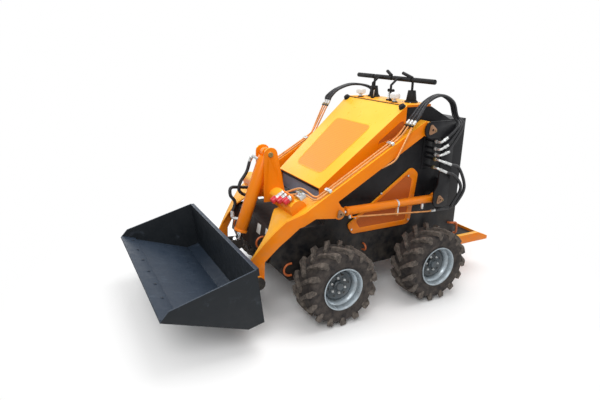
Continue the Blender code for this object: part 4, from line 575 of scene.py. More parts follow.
def rimShape():                  # about the X axis, its outer face to +X
    mesh = bmesh.new()
    addTurnedAboutX(mesh, [(side * (rim["halfWidth"] - inward), rim[circle] + outward)
                           for side, inward, circle, outward in rim["section"]], 0)
    sheetX, sheetRadius = rim["discSheet"]
    back = [(x - sheetX, max(radius - sheetRadius, 0)) for x, radius in reversed(rim["disc"])]
    addTurnedAboutX(mesh, [*rim["disc"], *back], 1)
    face = Vector((rim["face"], 0, 0))
    out = Vector((1, 0, 0))
    addTurned(mesh, face - out * rim["hubBack"], out * rim["hubDepth"], rim["hubProfile"], rim["hub"], 32, 1)
    for number in range(rim["nuts"]):
        turn = Matrix.Rotation(2 * pi * number / rim["nuts"], 3, "X")
        start = face + turn @ Vector((rim["nutOut"], 0, rim["nutCircle"]))
        addNut(mesh, start, out * rim["nutDepth"], rim["nut"], 2, 0.001)
        addRod(mesh, start + out * rim["nutDepth"], out * rim["studDepth"], rim["nut"] / 2, 14, 0.001, 2)
        # the holes between the nuts are thin dark discs: painted shade
        turn = Matrix.Rotation(2 * pi * (number + 0.5) / rim["nuts"], 3, "X")
        start = face + turn @ Vector((rim["holeOut"], 0, rim["holeCircle"]))
        addRod(mesh, start, out * rim["holeDepth"], rim["hole"], 20, 0, 3)
    addTurned(mesh, Vector(rim["valve"]), Vector(rim["valveStep"]), rim["valveProfile"], 1, 14, 3)
    return mesh


def addWheels():
    for side, sign in sides.items():
        for end, y in tyre["axles"].items():
            turn = Matrix.Rotation(radians(tyre["turned"][end]), 4, "X")
            place = Matrix.Translation(spot(sign * tyre["centreX"], y, tyre["height"]))
            for name, shape, finishes, slot in (("tyre_", tyreShape, ("rubber", "lug"), "tyre_rubber"),
                                                ("rim_", rimShape, ("rim", "rimDark", "zinc", "holeShadeAndValveBlack"), "rim_steel")):
                node = name + end + "_" + side
                mesh = shape()
                bmesh.ops.transform(mesh, matrix=place @ Matrix.Scale(sign, 4, (1, 0, 0)) @ turn, verts=mesh.verts)
                if sign < 0:
                    bmesh.ops.reverse_faces(mesh, faces=mesh.faces)
                finishPiece(node + "_finish", mesh, finishes, "wheel_" + end + "_" + side, 28, (node,))


# Arm pipes and couplers

arm = {"slope": radians(29.9), "pivot": (0.727, 1.166), "top": 0.069, "depth": 0.078}
pipe = {"radius": 0.006, "lanes": (0.400, 0.430), "outside": 0.462, "rise": 0.010, "bend": 0.035,
        "nut": 0.0095, "nutLength": 0.030, "nutBack": 0.004, "collar": 0.010, "collarRadius": 0.0081,
        "ends": {"left": (0.570, 1.210), "right": (0.455, 1.254)}, "bends": {"left": 0.500, "right": 0.340},
        "tuckBack": 0.050, "tuckLength": 0.080, "tuckDrop": 0.012, "straightY": -0.034,
        "front": (0.320, -0.150, 0.843), "dipY": -0.090, "intoCoupler": 0.006, "crossY": -0.200,
        "endClamp": (0.078, 0.012, 0.012), "endClampBack": 0.016, "clamp": (0.060, 0.021, 0.018),
        "clampFront": -0.012, "clampBack": 0.064, "boltAt": 0.009, "boltDepth": 0.005, "bolt": 0.0055}
fitting = {"nutShare": 0.36, "shellShare": 0.34, "nutRadius": 1.12,
           "shell": ((0, 0), (0, 0.8), (0.12, 0.8), (0.14, 1), (0.3, 1), (0.34, 0.93), (0.40, 1), (0.58, 1),
                     (0.62, 0.93), (0.68, 1), (0.96, 1), (1, 0.88), (1, 0))}


def overArm(y, height, depth=0.0):       # z of a line along the arm, height over its top face
    pivotY, pivotZ = arm["pivot"]
    return pivotZ + (arm["top"] - depth + height) / cos(arm["slope"]) + (y - pivotY) * tan(arm["slope"])


def underArm(y):
    return overArm(y, 0, arm["depth"]) - pipe["tuckDrop"]


def pipeWay(side):
    bendY = pipe["bends"][side]
    endY, endZ = pipe["ends"][side]
    return Vector((0, endY - bendY, endZ - overArm(bendY, pipe["rise"]))).normalized()


def addHexFitting(mesh, start, way, radius, length, paint):      # nut, collar and crimped shell along one line
    addNut(mesh, start, way * length * fitting["nutShare"], radius * fitting["nutRadius"], paint)
    addTurned(mesh, start + way * length * fitting["shellShare"], way * length * (1 - fitting["shellShare"]),
              fitting["shell"], radius, 20, paint)


def addArmPipes():
    slope = Matrix.Rotation(arm["slope"], 4, "X")
    for side, sign in sides.items():
        mesh = bmesh.new()
        endY, endZ = pipe["ends"][side]
        bendY = pipe["bends"][side]
        lanes = pipe["lanes"]
        routes = []
        for number, x in enumerate(lanes):
            atRise = [bendY, pipe["straightY"]]
            after = []
            if sign > 0:
                aside = x - lanes[0]
                atRise.append(pipe["dipY"] - aside / 2)
                frontX, frontY, frontZ = pipe["front"]
                placeX, placeY, placeZ = coupler["places"][number][:3]
                after = [(frontX + aside, frontY, frontZ - aside), (placeX, placeY + pipe["intoCoupler"], placeZ)]
            else:
                atRise.append(pipe["crossY"])
            routes.append([(x, endY, endZ), *((x, y, overArm(y, pipe["rise"])) for y in atRise), *after])
        tuckY = bendY - pipe["tuckBack"]
        lowY = tuckY - pipe["tuckLength"]
        routes.append([(pipe["outside"], endY, endZ), (pipe["outside"], tuckY, underArm(tuckY)),
                       (lanes[1], lowY, underArm(lowY))])
        for route in routes:
            addTube(mesh, rounded([spot(sign * x, y, z) for x, y, z in route], pipe["bend"]), pipe["radius"])
        way = pipeWay(side)
        for x in (*lanes, pipe["outside"]):
            start = spot(sign * x, endY, endZ) - way * pipe["nutBack"]
            addHexFitting(mesh, start, way, pipe["nut"], pipe["nutLength"], 1)
            addRod(mesh, start - way * pipe["collar"], way * pipe["collar"], pipe["collarRadius"], 16, 0.0006, 2)
        middle = sign * (lanes[0] + pipe["outside"]) / 2
        addBlock(mesh, spot(middle, endY, endZ) - way * pipe["endClampBack"], pipe["endClamp"], 0.0015,
                 Matrix.Rotation(atan2(way.z, way.y), 4, "X"), 3)
        for y in (pipe["clampFront"], bendY - pipe["clampBack"]):
            centre = spot(sign * sum(lanes) / 2, y, overArm(y, pipe["rise"]))
            addBlock(mesh, centre, pipe["clamp"], 0.002, slope, 1)
            up = slope.to_3x3() @ aboveFloor
            addNut(mesh, centre + up * pipe["boltAt"], up * pipe["boltDepth"], pipe["bolt"], 1, 0.0006)
        if sign > 0:
            addCouplers(mesh)
            addManifold(mesh)
        finishPiece("arm_pipes_" + side + "_finish", mesh, ("copper", "zinc", "brass", "black", "redCap", "orange"),
                    "arms", 35, ("arm_pipes_" + side,))


coupler = {"places": ((0.250, -0.234, 0.800, 0.095), (0.300, -0.240, 0.798, 0.070), (0.350, -0.236, 0.797, 0.055)),
           "slope": radians(30), "radius": 0.0185, "cap": 0.0222, "nut": 0.014, "nutRadius": 0.01813,
           "bodyFrom": 0.012, "bodyShort": 0.026, "capLength": 0.036,
           "holder": (0.300, -0.228, 0.7895), "holderSize": (0.144, 0.012, 0.042),
           "body": ((0, 0), (0, 0.8), (0.1, 0.8), (0.16, 0.96), (0.42, 0.96), (0.46, 0.84), (0.60, 0.84),
                    (0.64, 0.97), (0.96, 0.97), (1, 0.9), (1, 0)),
           "capProfile": ((0, 0), (0, 1), (0.28, 1), (0.34, 0.94), (0.80, 0.97), (0.92, 0.9), (1, 0.74), (1, 0))}


def addCouplers(mesh):
    way = Vector((0, -cos(coupler["slope"]), -sin(coupler["slope"])))
    for x, y, z, length in coupler["places"]:
        start = spot(x, y, z)
        addNut(mesh, start, way * coupler["nut"], coupler["nutRadius"], 1, 0.001)
        body = length - coupler["bodyShort"] - coupler["bodyFrom"]
        addTurned(mesh, start + way * coupler["bodyFrom"], way * body, coupler["body"], coupler["radius"], 24, 1)
        addTurned(mesh, start + way * (length - coupler["capLength"]), way * coupler["capLength"],
                  coupler["capProfile"], coupler["cap"], 24, 4)
    addBlock(mesh, spot(*coupler["holder"]), coupler["holderSize"], 0.0015, None, 5)


manifold = {"centre": (0.352, -0.172, 0.800), "size": (0.074, 0.044, 0.032), "nutsX": (-0.018, 0.018), "nut": 0.012,
            "nutFrom": 0.014, "nutDepth": 0.016, "plug": 0.0084, "plugDepth": 0.008}


def addManifold(mesh):                   # the plated block beside the couplers, with its two union nuts
    turned = Matrix.Rotation(arm["slope"], 4, "X")
    centre = spot(*manifold["centre"])
    addBlock(mesh, centre, manifold["size"], 0.003, turned, 1)
    for aside in manifold["nutsX"]:
        start = centre + turned.to_3x3() @ Vector((aside, 0, manifold["nutFrom"]))
        addNut(mesh, start, aboveFloor * manifold["nutDepth"], manifold["nut"])
        addRod(mesh, start + aboveFloor * manifold["nutDepth"], aboveFloor * manifold["plugDepth"], manifold["plug"],
               20, 0.0008, 2)


# Hoses

# Elbows: where they leave the tower, then their tip (y, z). Stubs: the same and how far back the hose's loop goes.
# Round: the route behind the tower (y, z, x).
hose = {"radius": 0.0088, "pitch": 0.0185, "topX": 0.398, "near": 0.3403, "fitting": 0.0105, "outer": 0.487,
        "arches": {"left": ((0.700, 1.342), (0.812, 1.381), (0.920, 1.335), (0.968, 1.240)),
                   "right": ((0.550, 1.362), (0.690, 1.395), (0.860, 1.362), (0.955, 1.245))},
        "stillAt": (0, 0.968, 1.25), "swingsZ": 1.25, "into": 0.002, "straight": 0.034,
        "elbows": ((0.806, 1.078, 0.838, 1.106), (0.806, 1.030, 0.848, 1.056), (0.812, 0.990, 0.862, 1.012)),
        "stubs": ((0.806, 0.960, 0.900, 0.926, 1.070), (0.800, 0.905, 0.866, 0.876, 1.036)),
        "round": ((0.952, 1.196, 0.474), (0.900, 1.150, 0.487)), "roundStep": 0.020, "stem": 0.095,
        "guard": 0.115, "guardFrom": 0.012, "guardPitch": 0.0075, "guardOut": 0.0006, "guardWire": 0.0015,
        "plate": (0.3418, 0.815, 0.992), "plateSize": (0.003, 0.080, 0.240)}
# Loop: places after the stub's tip, each an x in from the outer line, a y back from the loop's, a z.
low = {"radius": 0.0108, "first": (0.085, -0.034), "loop": ((0.012, 0, 0.745), (0.030, -0.040, 0.630)),
       "foot": (0.437, 0.910, 0.594),
       "ends": (((0.440, 0.880, 0.593), (0.440, 0.852, 0.593)), ((0.398, 0.8915, 0.599),)),
       "stillAt": (0, 1.10, 0.80), "swingsAt": (0, 0.910, 0.60)}


def addHoses():
    for side, sign in sides.items():
        addBulkhead(side, sign)
        way = pipeWay(side)
        endY, endZ = pipe["ends"][side]
        for number, (lane, elbow) in enumerate(zip((*pipe["lanes"], pipe["outside"]), hose["elbows"])):
            start = spot(sign * lane, endY, endZ) + way * (pipe["nutLength"] - hose["into"])
            x = hose["topX"] + number * hose["pitch"]
            places = [start, start + way * hose["straight"]]
            places += [spot(sign * x, a, b) for a, b in hose["arches"][side]]
            shift = number * hose["roundStep"]
            places += [spot(sign * c, a + shift, b - step * shift) for step, (a, b, c) in enumerate(hose["round"])]
            route = smoothRoute([*places, spot(sign * hose["outer"], *elbow[2:])])
            mesh = bmesh.new()
            addTube(mesh, route, hose["radius"], 0, 4)
            addGuard(mesh, route)
            finishPiece("hose_" + side + "_" + str(number), mesh, ("hose", "guard"), "chassis", 40,
                        ("hoses_" + side,) if number == 0 else (),
                        ("arms", spot(*hose["stillAt"]), spot(0, endY, hose["swingsZ"])))
        for number, stub in enumerate(hose["stubs"]):
            outer = hose["outer"]
            outY, outZ, loopY = stub[2:]
            back, down = low["first"]
            footX, footY, footZ = low["foot"]
            places = [(outer, outY, outZ), (outer, outY + back, outZ + down),
                      *((outer - inward, loopY + a, b) for inward, a, b in low["loop"]),
                      (footX, (footY + loopY) / 2, footZ), *low["ends"][number]]
            mesh = bmesh.new()
            addTube(mesh, smoothRoute([spot(sign * a, b, c) for a, b, c in places]), low["radius"], 0, 4)
            finishPiece("lift_hose_" + side + "_" + str(number), mesh, ("hose",), "chassis", 40, (),
                        ("lift_barrel_" + side, spot(*low["stillAt"]), spot(*low["swingsAt"])))


def addGuard(mesh, route):               # the spiral wrap on the stretch next to the pipes
    travelled = 0.0
    pieces = 10
    helix = []
    for first, second in zip(route, route[1:]):
        step = second - first
        aside = Vector((1, 0, 0))
        across = step.cross(aside).normalized()
        for number in range(pieces):
            along = travelled + step.length * number / pieces
            if hose["guardFrom"] < along < hose["guard"]:
                turn = 2 * pi * along / hose["guardPitch"]
                outward = aside * cos(turn) + across * sin(turn)
                helix.append(first.lerp(second, number / pieces) + outward * (hose["radius"] + hose["guardOut"]))
        travelled += step.length
    addTube(mesh, helix, hose["guardWire"], 1, 1)


# A hex reaches so far before and after the stem's end. Sizes are shares of the fitting's radius.
bulkhead = {"stem": 0.8, "end": 1.02,
            "elbows": {"kneeIn": 0.012, "before": 0.010, "after": 0.004, "hex": 1.25, "paint": 1, "bend": 0.030,
                       "tube": 0.85, "tubeShort": 0, "endFrom": 0.020, "endLength": 0.034},
            "stubs": {"kneeIn": 0.006, "before": 0.008, "after": 0.010, "hex": 1.3, "paint": 2, "bend": 0.022,
                      "tube": 0.8, "tubeShort": 0.030, "endFrom": 0.056, "endLength": 0.062}}


def addBulkhead(side, sign):
    mesh = bmesh.new()
    outward = Vector((sign, 0, 0))
    size = hose["fitting"]
    for kind in ("elbows", "stubs"):
        form = bulkhead[kind]
        for row in hose[kind]:
            y, z, outY, outZ = row[:4]
            base = spot(sign * hose["near"], y, z)
            knee = spot(sign * (hose["outer"] - form["kneeIn"]), y, z)
            tip = spot(sign * hose["outer"], outY, outZ)
            way = (tip - knee).normalized()
            seen = base + outward * hose["stem"]
            addRod(mesh, base, seen - base, size * bulkhead["stem"], 20)
            addNut(mesh, seen - outward * form["before"], outward * (form["before"] + form["after"]),
                   size * form["hex"], form["paint"], 0.001)
            addTube(mesh, rounded([seen, knee, tip - way * form["tubeShort"]], form["bend"]), size * form["tube"], 1)
            addHexFitting(mesh, tip - way * form["endFrom"], way, size * bulkhead["end"], form["endLength"], 1)
    x, y, z = hose["plate"]
    addBlock(mesh, spot(sign * x, y, z), hose["plateSize"], 0.0008)
    finishPiece("bulkhead_" + side, mesh, ("black", "zinc", "brass"), "chassis", 35)


# Pins, glands and ports

# Pins: y, z, x of the outer face, radius.
pins = {"chassis": ((0.727, 1.166, 0.4680, 0.0240), (0.855, 0.677, 0.4680, 0.0220)),
        "arms": ((0.056, 0.682, 0.4560, 0.0190),), "tilt": (-0.244, 1.005, 0.0730), "tiltDepth": 0.0085,
        "plate": 2.1, "plateRound": 1.1, "plateDepth": 0.005, "plateOut": 0.0026, "plateTurn": radians(-250),
        "into": 0.002, "head": 0.0105, "hole": 0.33, "holeOut": 0.006, "holeDepth": 0.0012,
        "bolt": 0.005, "boltDepth": 0.010, "boltAt": (0, 1.15, -0.3),
        "profile": ((0, 0), (0, 0.72), (0.85, 0.72), (1, 0.62), (1, 0.36), (0.8, 0.32), (0.8, 0)),
        "tiltProfile": ((0, 0), (0, 0.0170), (0.8, 0.0170), (1, 0.0155), (1, 0.005), (0.7, 0.004), (0.7, 0))}
# Nuts: where they start, how they reach out. A plain stub sits on one of them.
liftGland = {"start": (0.420, 0.132, 0.6816), "way": (0, -0.799, 0.005), "back": 0.012, "depth": 0.016, "nut": 0.0105,
             "profile": ((0, 0.0158), (0, 0.0288), (0.15, 0.0300), (0.85, 0.0300), (1, 0.0285), (1, 0.0158),
                         (0, 0.0158)),
             "nuts": (((0.425, 0.145, 0.652), (0.006, 0, -0.018)), ((0.420, 0.747, 0.652), (0, 0, -0.030)),
                      ((0.440, 0.812, 0.593), (0, 0.038, 0))),
             "stub": ((0.420, 0.747, 0.622), (0, 0, -0.010), 0.0085)}
tiltGland = {"top": (0, -0.244, 1.005), "foot": (0, -0.456, 0.414), "nose": 0.083, "back": 0.014, "depth": 0.018,
             "profile": ((0, 0.0212), (0, 0.0430), (0.15, 0.0445), (0.85, 0.0445), (1, 0.0425), (1, 0.0212),
                         (0, 0.0212)),
             "upper": 0.050, "upperX": -0.034, "upperStep": (-0.022, -0.004, 0.002), "stub": (-0.014, -0.002, 0.002),
             "stubRadius": 0.009, "lower": 0.045, "lowerX": -0.036, "lowerStep": (-0.022, 0, 0), "nut": 0.011}


def addPinHead(mesh, place, outward, radius):    # a pin's end: head, centre hole, keeper plate and its bolt
    part = bmesh.new()
    bmesh.ops.create_cone(part, cap_ends=True, segments=3, radius1=radius * pins["plate"],
                          radius2=radius * pins["plate"], depth=pins["plateDepth"])
    upright = [edge for edge in part.edges if abs((edge.verts[0].co - edge.verts[1].co).z) > pins["plateDepth"] / 2]
    bmesh.ops.bevel(part, geom=upright, offset=radius * pins["plateRound"], segments=6, affect="EDGES", profile=0.5,
                    material=-1)
    softenEdges(part, 0.0008, 50)
    start = place + outward * pins["plateOut"]
    graft(mesh, part, laid(start, start + outward) @ Matrix.Rotation(pins["plateTurn"], 4, "Z"), 0)
    addTurned(mesh, place - outward * pins["into"], outward * pins["head"], pins["profile"], radius, 32)
    # the centre hole is a thin dark disc: painted shade
    addRod(mesh, place + outward * pins["holeOut"], outward * pins["holeDepth"], radius * pins["hole"], 20, 0, 1)
    addNut(mesh, place + Vector(pins["boltAt"]) * radius, outward * pins["boltDepth"], pins["bolt"], 2, 0.0007)


def addPins():
    for side, sign in sides.items():
        outward = Vector((sign, 0, 0))
        for body in ("chassis", "arms"):
            mesh = bmesh.new()
            for y, z, x, radius in pins[body]:
                addPinHead(mesh, spot(sign * x, y, z), outward, radius)
            finishPiece("pin_heads_" + body + "_" + side, mesh, ("pinHead", "holeShadeAndValveBlack", "brass"), body)
        mesh = bmesh.new()
        way = Vector(liftGland["way"]).normalized()
        x, y, z = liftGland["start"]
        addTurned(mesh, spot(sign * x, y - liftGland["back"], z) - way * liftGland["back"], way * liftGland["depth"],
                  liftGland["profile"], 1, 36)
        for (x, y, z), step in liftGland["nuts"]:
            addNut(mesh, spot(sign * x, y, z), mirrored(sign, *step), liftGland["nut"])
        (x, y, z), step, radius = liftGland["stub"]
        addRod(mesh, spot(sign * x, y, z), Vector(step), radius, 20, 0.0008, 1)
        finishPiece("lift_gland_" + side, mesh, ("orange", "zinc"), "lift_barrel_" + side)
    mesh = bmesh.new()
    y, z, x = pins["tilt"]
    for sign in (1, -1):
        addTurned(mesh, spot(sign * x, y, z), Vector((sign * pins["tiltDepth"], 0, 0)), pins["tiltProfile"])
    finishPiece("tilt_pin_ends", mesh, ("brass",), "arms")
    top, foot = spot(*tiltGland["top"]), spot(*tiltGland["foot"])
    way = (foot - top).normalized()
    nose = foot - way * tiltGland["nose"]
    mesh = bmesh.new()
    addTurned(mesh, nose - way * tiltGland["back"], way * tiltGland["depth"], tiltGland["profile"], 1, 40)
    port = top + way * tiltGland["upper"] + Vector((tiltGland["upperX"], 0, 0))
    step = Vector(tiltGland["upperStep"])
    addNut(mesh, port, step, tiltGland["nut"])
    addRod(mesh, port + step, Vector(tiltGland["stub"]), tiltGland["stubRadius"], 20, 0.0008, 1)
    port = nose - way * tiltGland["lower"] + Vector((tiltGland["lowerX"], 0, 0))
    addNut(mesh, port, Vector(tiltGland["lowerStep"]), tiltGland["nut"])
    finishPiece("tilt_gland", mesh, ("orange", "zinc"), "tilt_barrel")


tiltHose = {"radius": 0.0110, "fitting": 0.0125, "bend": 0.016, "knee": 0.020, "shellFrom": 0.006, "shell": 0.042,
            "hoseFrom": 0.040, "endBack": (0, -0.020, 0), "endStep": (0, 0.050, -0.006),
            "upper": ((0.000, -0.298, 0.968), (-0.045, -0.322, 0.982), (-0.066, -0.330, 0.945),
                      (-0.070, -0.352, 0.870), (-0.078, -0.395, 0.800), (-0.078, -0.402, 0.745),
                      (-0.088, -0.350, 0.705), (-0.112, -0.262, 0.700)),
            "lower": ((-0.030, -0.415, 0.560), (-0.075, -0.455, 0.562), (-0.082, -0.452, 0.610),
                      (-0.084, -0.432, 0.668), (-0.086, -0.462, 0.718), (-0.094, -0.455, 0.765),
                      (-0.110, -0.395, 0.760), (-0.130, -0.262, 0.735))}


def addTiltHoses():              # from the tilt cylinder's two ports round to the cross tube's far side
    for name in ("upper", "lower"):
        port, knee, tip, *places = [spot(*place) for place in tiltHose[name]]
        way = (tip - knee).normalized()
        mesh = bmesh.new()
        route = rounded([port, knee, knee + way * tiltHose["knee"]], tiltHose["bend"])
        addTube(mesh, route, tiltHose["fitting"] * 0.8)
        addHexFitting(mesh, knee + way * tiltHose["shellFrom"], way, tiltHose["fitting"], tiltHose["shell"], 0)
        finishPiece("tilt_fitting_" + name, mesh, ("zinc",), "tilt_barrel", 35)
        mesh = bmesh.new()
        addTube(mesh, smoothRoute([knee + way * tiltHose["hoseFrom"], *places]), tiltHose["radius"], 0, 4)
        finishPiece("tilt_hose_" + name, mesh, ("hose",), "tilt_barrel", 40, (),
                    ("arms", places[1], places[-1]))
        mesh = bmesh.new()
        addNut(mesh, places[-1] + Vector(tiltHose["endBack"]), Vector(tiltHose["endStep"]), tiltHose["fitting"], 0)
        finishPiece("tilt_hose_end_" + name, mesh, ("zinc",), "arms", 35)


# Hood

# Windows are given up the slope from the front edge. A side window's corners: along the slope, down from the top.
hood = {"front": (-0.004, 0.812), "rear": (0.598, 1.315), "frontHalf": 0.290, "rearHalf": 0.355,
        "slope": radians(39.8),
        "window": ((-0.178, 0.095), (0.178, 0.095), (0.218, 0.565), (-0.218, 0.565)), "round": 0.050, "roundSteps": 8,
        "windowRim": (0.0003, 0.0018, 0.0045, 0.0013), "sideRim": (0.0002, 0.0016, 0.0030, 0.0010),
        "sideWindow": ((0.475, 0.060), (0.490, 0.046), (0.690, 0.050), (0.708, 0.062), (0.700, 0.098),
                       (0.585, 0.108)),
        "knobX": 0.328, "knobAt": 0.762, "knobDepth": 0.021,
        "knob": ((0, 0), (0, 0.024), (0.3, 0.024), (0.4, 0.020), (0.85, 0.020), (1, 0.015), (1, 0)),
        "frontSeal": (-0.004, -0.022), "frontSealSize": (0.560, 0.010, 0.020), "rearSeal": (0.778, 0.001),
        "rearSealSize": (0.6674, 0.006, 0.003)}


def hoodWay():
    return (spot(0, *hood["rear"]) - spot(0, *hood["front"])).normalized()


def hoodUp():
    way = hoodWay()
    return Vector((0, -way.z, way.y))


def onHood(x, along, out=0.0):           # a place on the hood's top, a distance up its slope from the front edge
    return Vector((x, 0, 0)) + spot(0, *hood["front"]) + hoodWay() * along + hoodUp() * out


def pressedPanel(places, outward, gap, thickness, rim, depth):
    # A window is a fine perforated sheet behind a rounded opening, shown as a thin panel with a pressed rim.
    part = bmesh.new()
    face = part.faces.new([part.verts.new(place + outward * gap) for place in places])
    raised = bmesh.ops.extrude_face_region(part, geom=[face])["geom"]
    moved = [item for item in raised if isinstance(item, bmesh.types.BMVert)]
    bmesh.ops.translate(part, vec=outward * thickness, verts=moved)
    top = [item for item in raised if isinstance(item, bmesh.types.BMFace)]
    bmesh.ops.recalc_face_normals(part, faces=part.faces)
    bmesh.ops.inset_region(part, faces=top, thickness=rim, depth=0)
    bmesh.ops.inset_region(part, faces=top, thickness=depth, depth=-depth)
    for face in part.faces:
        face.material_index = 1 if face in top else 0
    return part


def addHoodParts():
    corners = [Vector(corner) for corner in hood["window"]]
    outline = []
    for before, corner, after in zip(corners[-1:] + corners, corners, corners[1:] + corners):
        start = corner + (before - corner).normalized() * hood["round"]
        end = corner + (after - corner).normalized() * hood["round"]
        outline += arc(start, corner, end, hood["roundSteps"])
    up = hoodUp()
    part = pressedPanel([onHood(x, along) for x, along in outline], up, *hood["windowRim"])
    # the pressed rim takes the lighter copy of the orange, a painted lit top
    finishPiece("hood_window", part, ("yellow", "perforated"), "hood")
    mesh = bmesh.new()
    for sign in (1, -1):
        addTurned(mesh, onHood(sign * hood["knobX"], hood["knobAt"]), up * hood["knobDepth"], hood["knob"], 1, 24)
    slope = Matrix.Rotation(hood["slope"], 4, "X")
    addBlock(mesh, onHood(0, *hood["frontSeal"]), hood["frontSealSize"], 0.003, slope)
    addBlock(mesh, onHood(0, *hood["rearSeal"]), hood["rearSealSize"], 0.001, slope)
    finishPiece("hood_latches_and_seal", mesh, ("grip",), "hood", 35)
    widening = (hood["rearHalf"] - hood["frontHalf"]) / (hood["rear"][0] - hood["front"][0])
    for side, sign in sides.items():
        outward = Vector((sign, -widening, 0)).normalized()
        places = [onHood(0, along, -down) for along, down in hood["sideWindow"]]
        for place in places:
            place.x = sign * (hood["frontHalf"] + widening * (place.y - axleToMiddle - hood["front"][0]))
        part = pressedPanel(places, outward, *hood["sideRim"])
        finishPiece("hood_side_window_" + side, part, ("orange", "sidePerforated"), "hood")


# Console

# Caps: x and y on each side. Levers: x, lean. Sleeves: from x to x.
console = {"topZ": 1.3166, "caps": {"left": (0.179, 0.632), "right": (-0.224, 0.632)}, "capHeight": 0.070,
           "cap": ((0, 0), (0, 0.012), (0.30, 0.011), (0.36, 0.026), (0.40, 0.0325), (0.76, 0.0335), (0.86, 0.030),
                   (0.96, 0.020), (1, 0.006), (1, 0)),
           "ridges": 24, "ridgeOut": 0.0325, "ridgeFrom": 0.030, "ridgeHeight": 0.021, "ridge": 0.0022,
           "stem": (0.020, 0.006), "stemNut": (0.0155, 0.008), "postX": (0.215, -0.215), "postY": 0.745,
           "boot": ((0, 0), (0, 0.046), (0.5, 0.046), (1, 0.041), (1, 0.037), (0.6, 0)), "bootHeight": 0.012,
           "boltTurns": (45, 135, 225, 315), "boltOut": 0.056, "bolt": 0.0055, "boltHeight": 0.004,
           "levers": ((0.090, 0.010), (0.060, -0.006), (-0.120, 0.004)), "leverY": 0.665, "leverBack": 0.010,
           "leverHeight": 0.062, "lever": 0.004, "collar": (0.014, 0.010), "knobInto": 0.004, "knobHeight": 0.024,
           "knob": ((0, 0), (0.05, 0.006), (0.3, 0.0105), (0.6, 0.0115), (0.85, 0.008), (1, 0)),
           "sleeves": ((0.010, 0.205), (0.225, 0.4295)), "sleeveZ": 1.465,
           "sleeve": ((0, 0), (0, 0.0135), (0.01, 0.0165), (0.99, 0.0165), (1, 0.0135), (1, 0))}


def addConsoleParts():
    for side, (x, y) in console["caps"].items():     # round filler caps with a milled rim
        mesh = bmesh.new()
        base = spot(x, y, console["topZ"])
        addTurned(mesh, base, aboveFloor * console["capHeight"], console["cap"], 1, 40)
        for number in range(console["ridges"]):
            turn = 2 * pi * number / console["ridges"]
            ridge = Vector((cos(turn), sin(turn), 0)) * console["ridgeOut"] + aboveFloor * console["ridgeFrom"]
            addRod(mesh, base + ridge, aboveFloor * console["ridgeHeight"], console["ridge"], 8)
        node = "cap_" + side
        finishPiece(node + "_finish", mesh, ("capSilver",), nodeBody[node], 35, (node,))
    mesh = bmesh.new()
    for x, y in console["caps"].values():
        base = spot(x, y, console["topZ"])
        radius, height = console["stem"]
        addRod(mesh, base, aboveFloor * height, radius, 28, 0.001)
        radius, depth = console["stemNut"]
        addNut(mesh, base + aboveFloor * height, aboveFloor * depth, radius, 1, 0.001)
    for x in console["postX"]:
        base = spot(x, console["postY"], console["topZ"])
        addTurned(mesh, base, aboveFloor * console["bootHeight"], console["boot"], 1, 36)
        for turn in console["boltTurns"]:
            bolt = base + Vector((cos(radians(turn)), sin(radians(turn)), 0)) * console["boltOut"]
            addNut(mesh, bolt, aboveFloor * console["boltHeight"], console["bolt"], 1, 0.0005)
    for x, lean in console["levers"]:
        base = spot(x, console["leverY"], console["topZ"])
        reach = Vector((lean, console["leverBack"], console["leverHeight"]))
        radius, height = console["collar"]
        addRod(mesh, base, aboveFloor * height, radius, 24, 0.001)
        addRod(mesh, base, reach, console["lever"], 14, 0, 1)
        addTurned(mesh, base + reach - aboveFloor * console["knobInto"], aboveFloor * console["knobHeight"],
                  console["knob"], 1, 22)
    finishPiece("console_fittings", mesh, ("grip", "zinc"), "chassis", 32)
    for side, sign in sides.items():                 # rubber sleeves on the bars
        mesh = bmesh.new()
        for start, end in console["sleeves"]:
            addTurned(mesh, spot(sign * start, console["postY"], console["sleeveZ"]),
                      Vector((sign * (end - start), 0, 0)), console["sleeve"], 1, 24)
        finishPiece("grips_" + side, mesh, ("grip",), "chassis", 32)


# Bucket, platform and covers: bolts, holes, deck and bare plates

bucket = {"lip": (-1.107, 0.327), "heel": (-0.631, 0.160), "top": 0.0202, "bolts": 7, "boltPitch": 0.185,
          "boltBack": 0.070, "boltInto": 0.002, "boltDepth": 0.0032, "bolt": 0.010, "socketOut": 0.0010,
          "socketDepth": 0.0006, "socket": 0.0055,
          "holes": ((0.6366, -0.760, 0.250), (0.6366, -0.800, 0.238)), "hole": 0.007, "holeInto": 0.004,
          "holeDepth": 0.0043, "weldUp": 0.010, "weldBack": 0.003, "weldHalf": 0.625, "weld": 0.004}


def addBucketParts():
    lip, heel = spot(0, *bucket["lip"]), spot(0, *bucket["heel"])
    way = (lip - heel).normalized()
    up = Vector((0, way.z, -way.y))
    mesh = bmesh.new()
    for number in range(bucket["bolts"]):
        x = (number - (bucket["bolts"] - 1) / 2) * bucket["boltPitch"]
        place = lip - way * bucket["boltBack"] + Vector((x, 0, 0)) + up * bucket["top"]
        addRod(mesh, place - up * bucket["boltInto"], up * bucket["boltDepth"], bucket["bolt"], 24, 0.0004)
        # each bolt's hex socket is a thin dark hex: painted shade
        addNut(mesh, place + up * bucket["socketOut"], up * bucket["socketDepth"], bucket["socket"], 1, 0)
    finishPiece("cutting_edge_bolts", mesh, ("bucketInside", "holeShadeAndValveBlack"), "bucket", 35)
    mesh = bmesh.new()
    for sign in (1, -1):
        outward = Vector((sign, 0, 0))
        for x, y, z in bucket["holes"]:
            # the holes in the side plates are dark discs: painted shade
            addRod(mesh, spot(sign * x, y, z) - outward * bucket["holeInto"], outward * bucket["holeDepth"],
                   bucket["hole"], 20)
    middle = heel + up * bucket["weldUp"] - way * bucket["weldBack"]
    half = Vector((bucket["weldHalf"], 0, 0))
    addTube(mesh, [middle - half, middle + half], bucket["weld"], 1, 2)
    finishPiece("bucket_welds", mesh, ("holeShadeAndValveBlack", "bucketInside"), "bucket", 35)


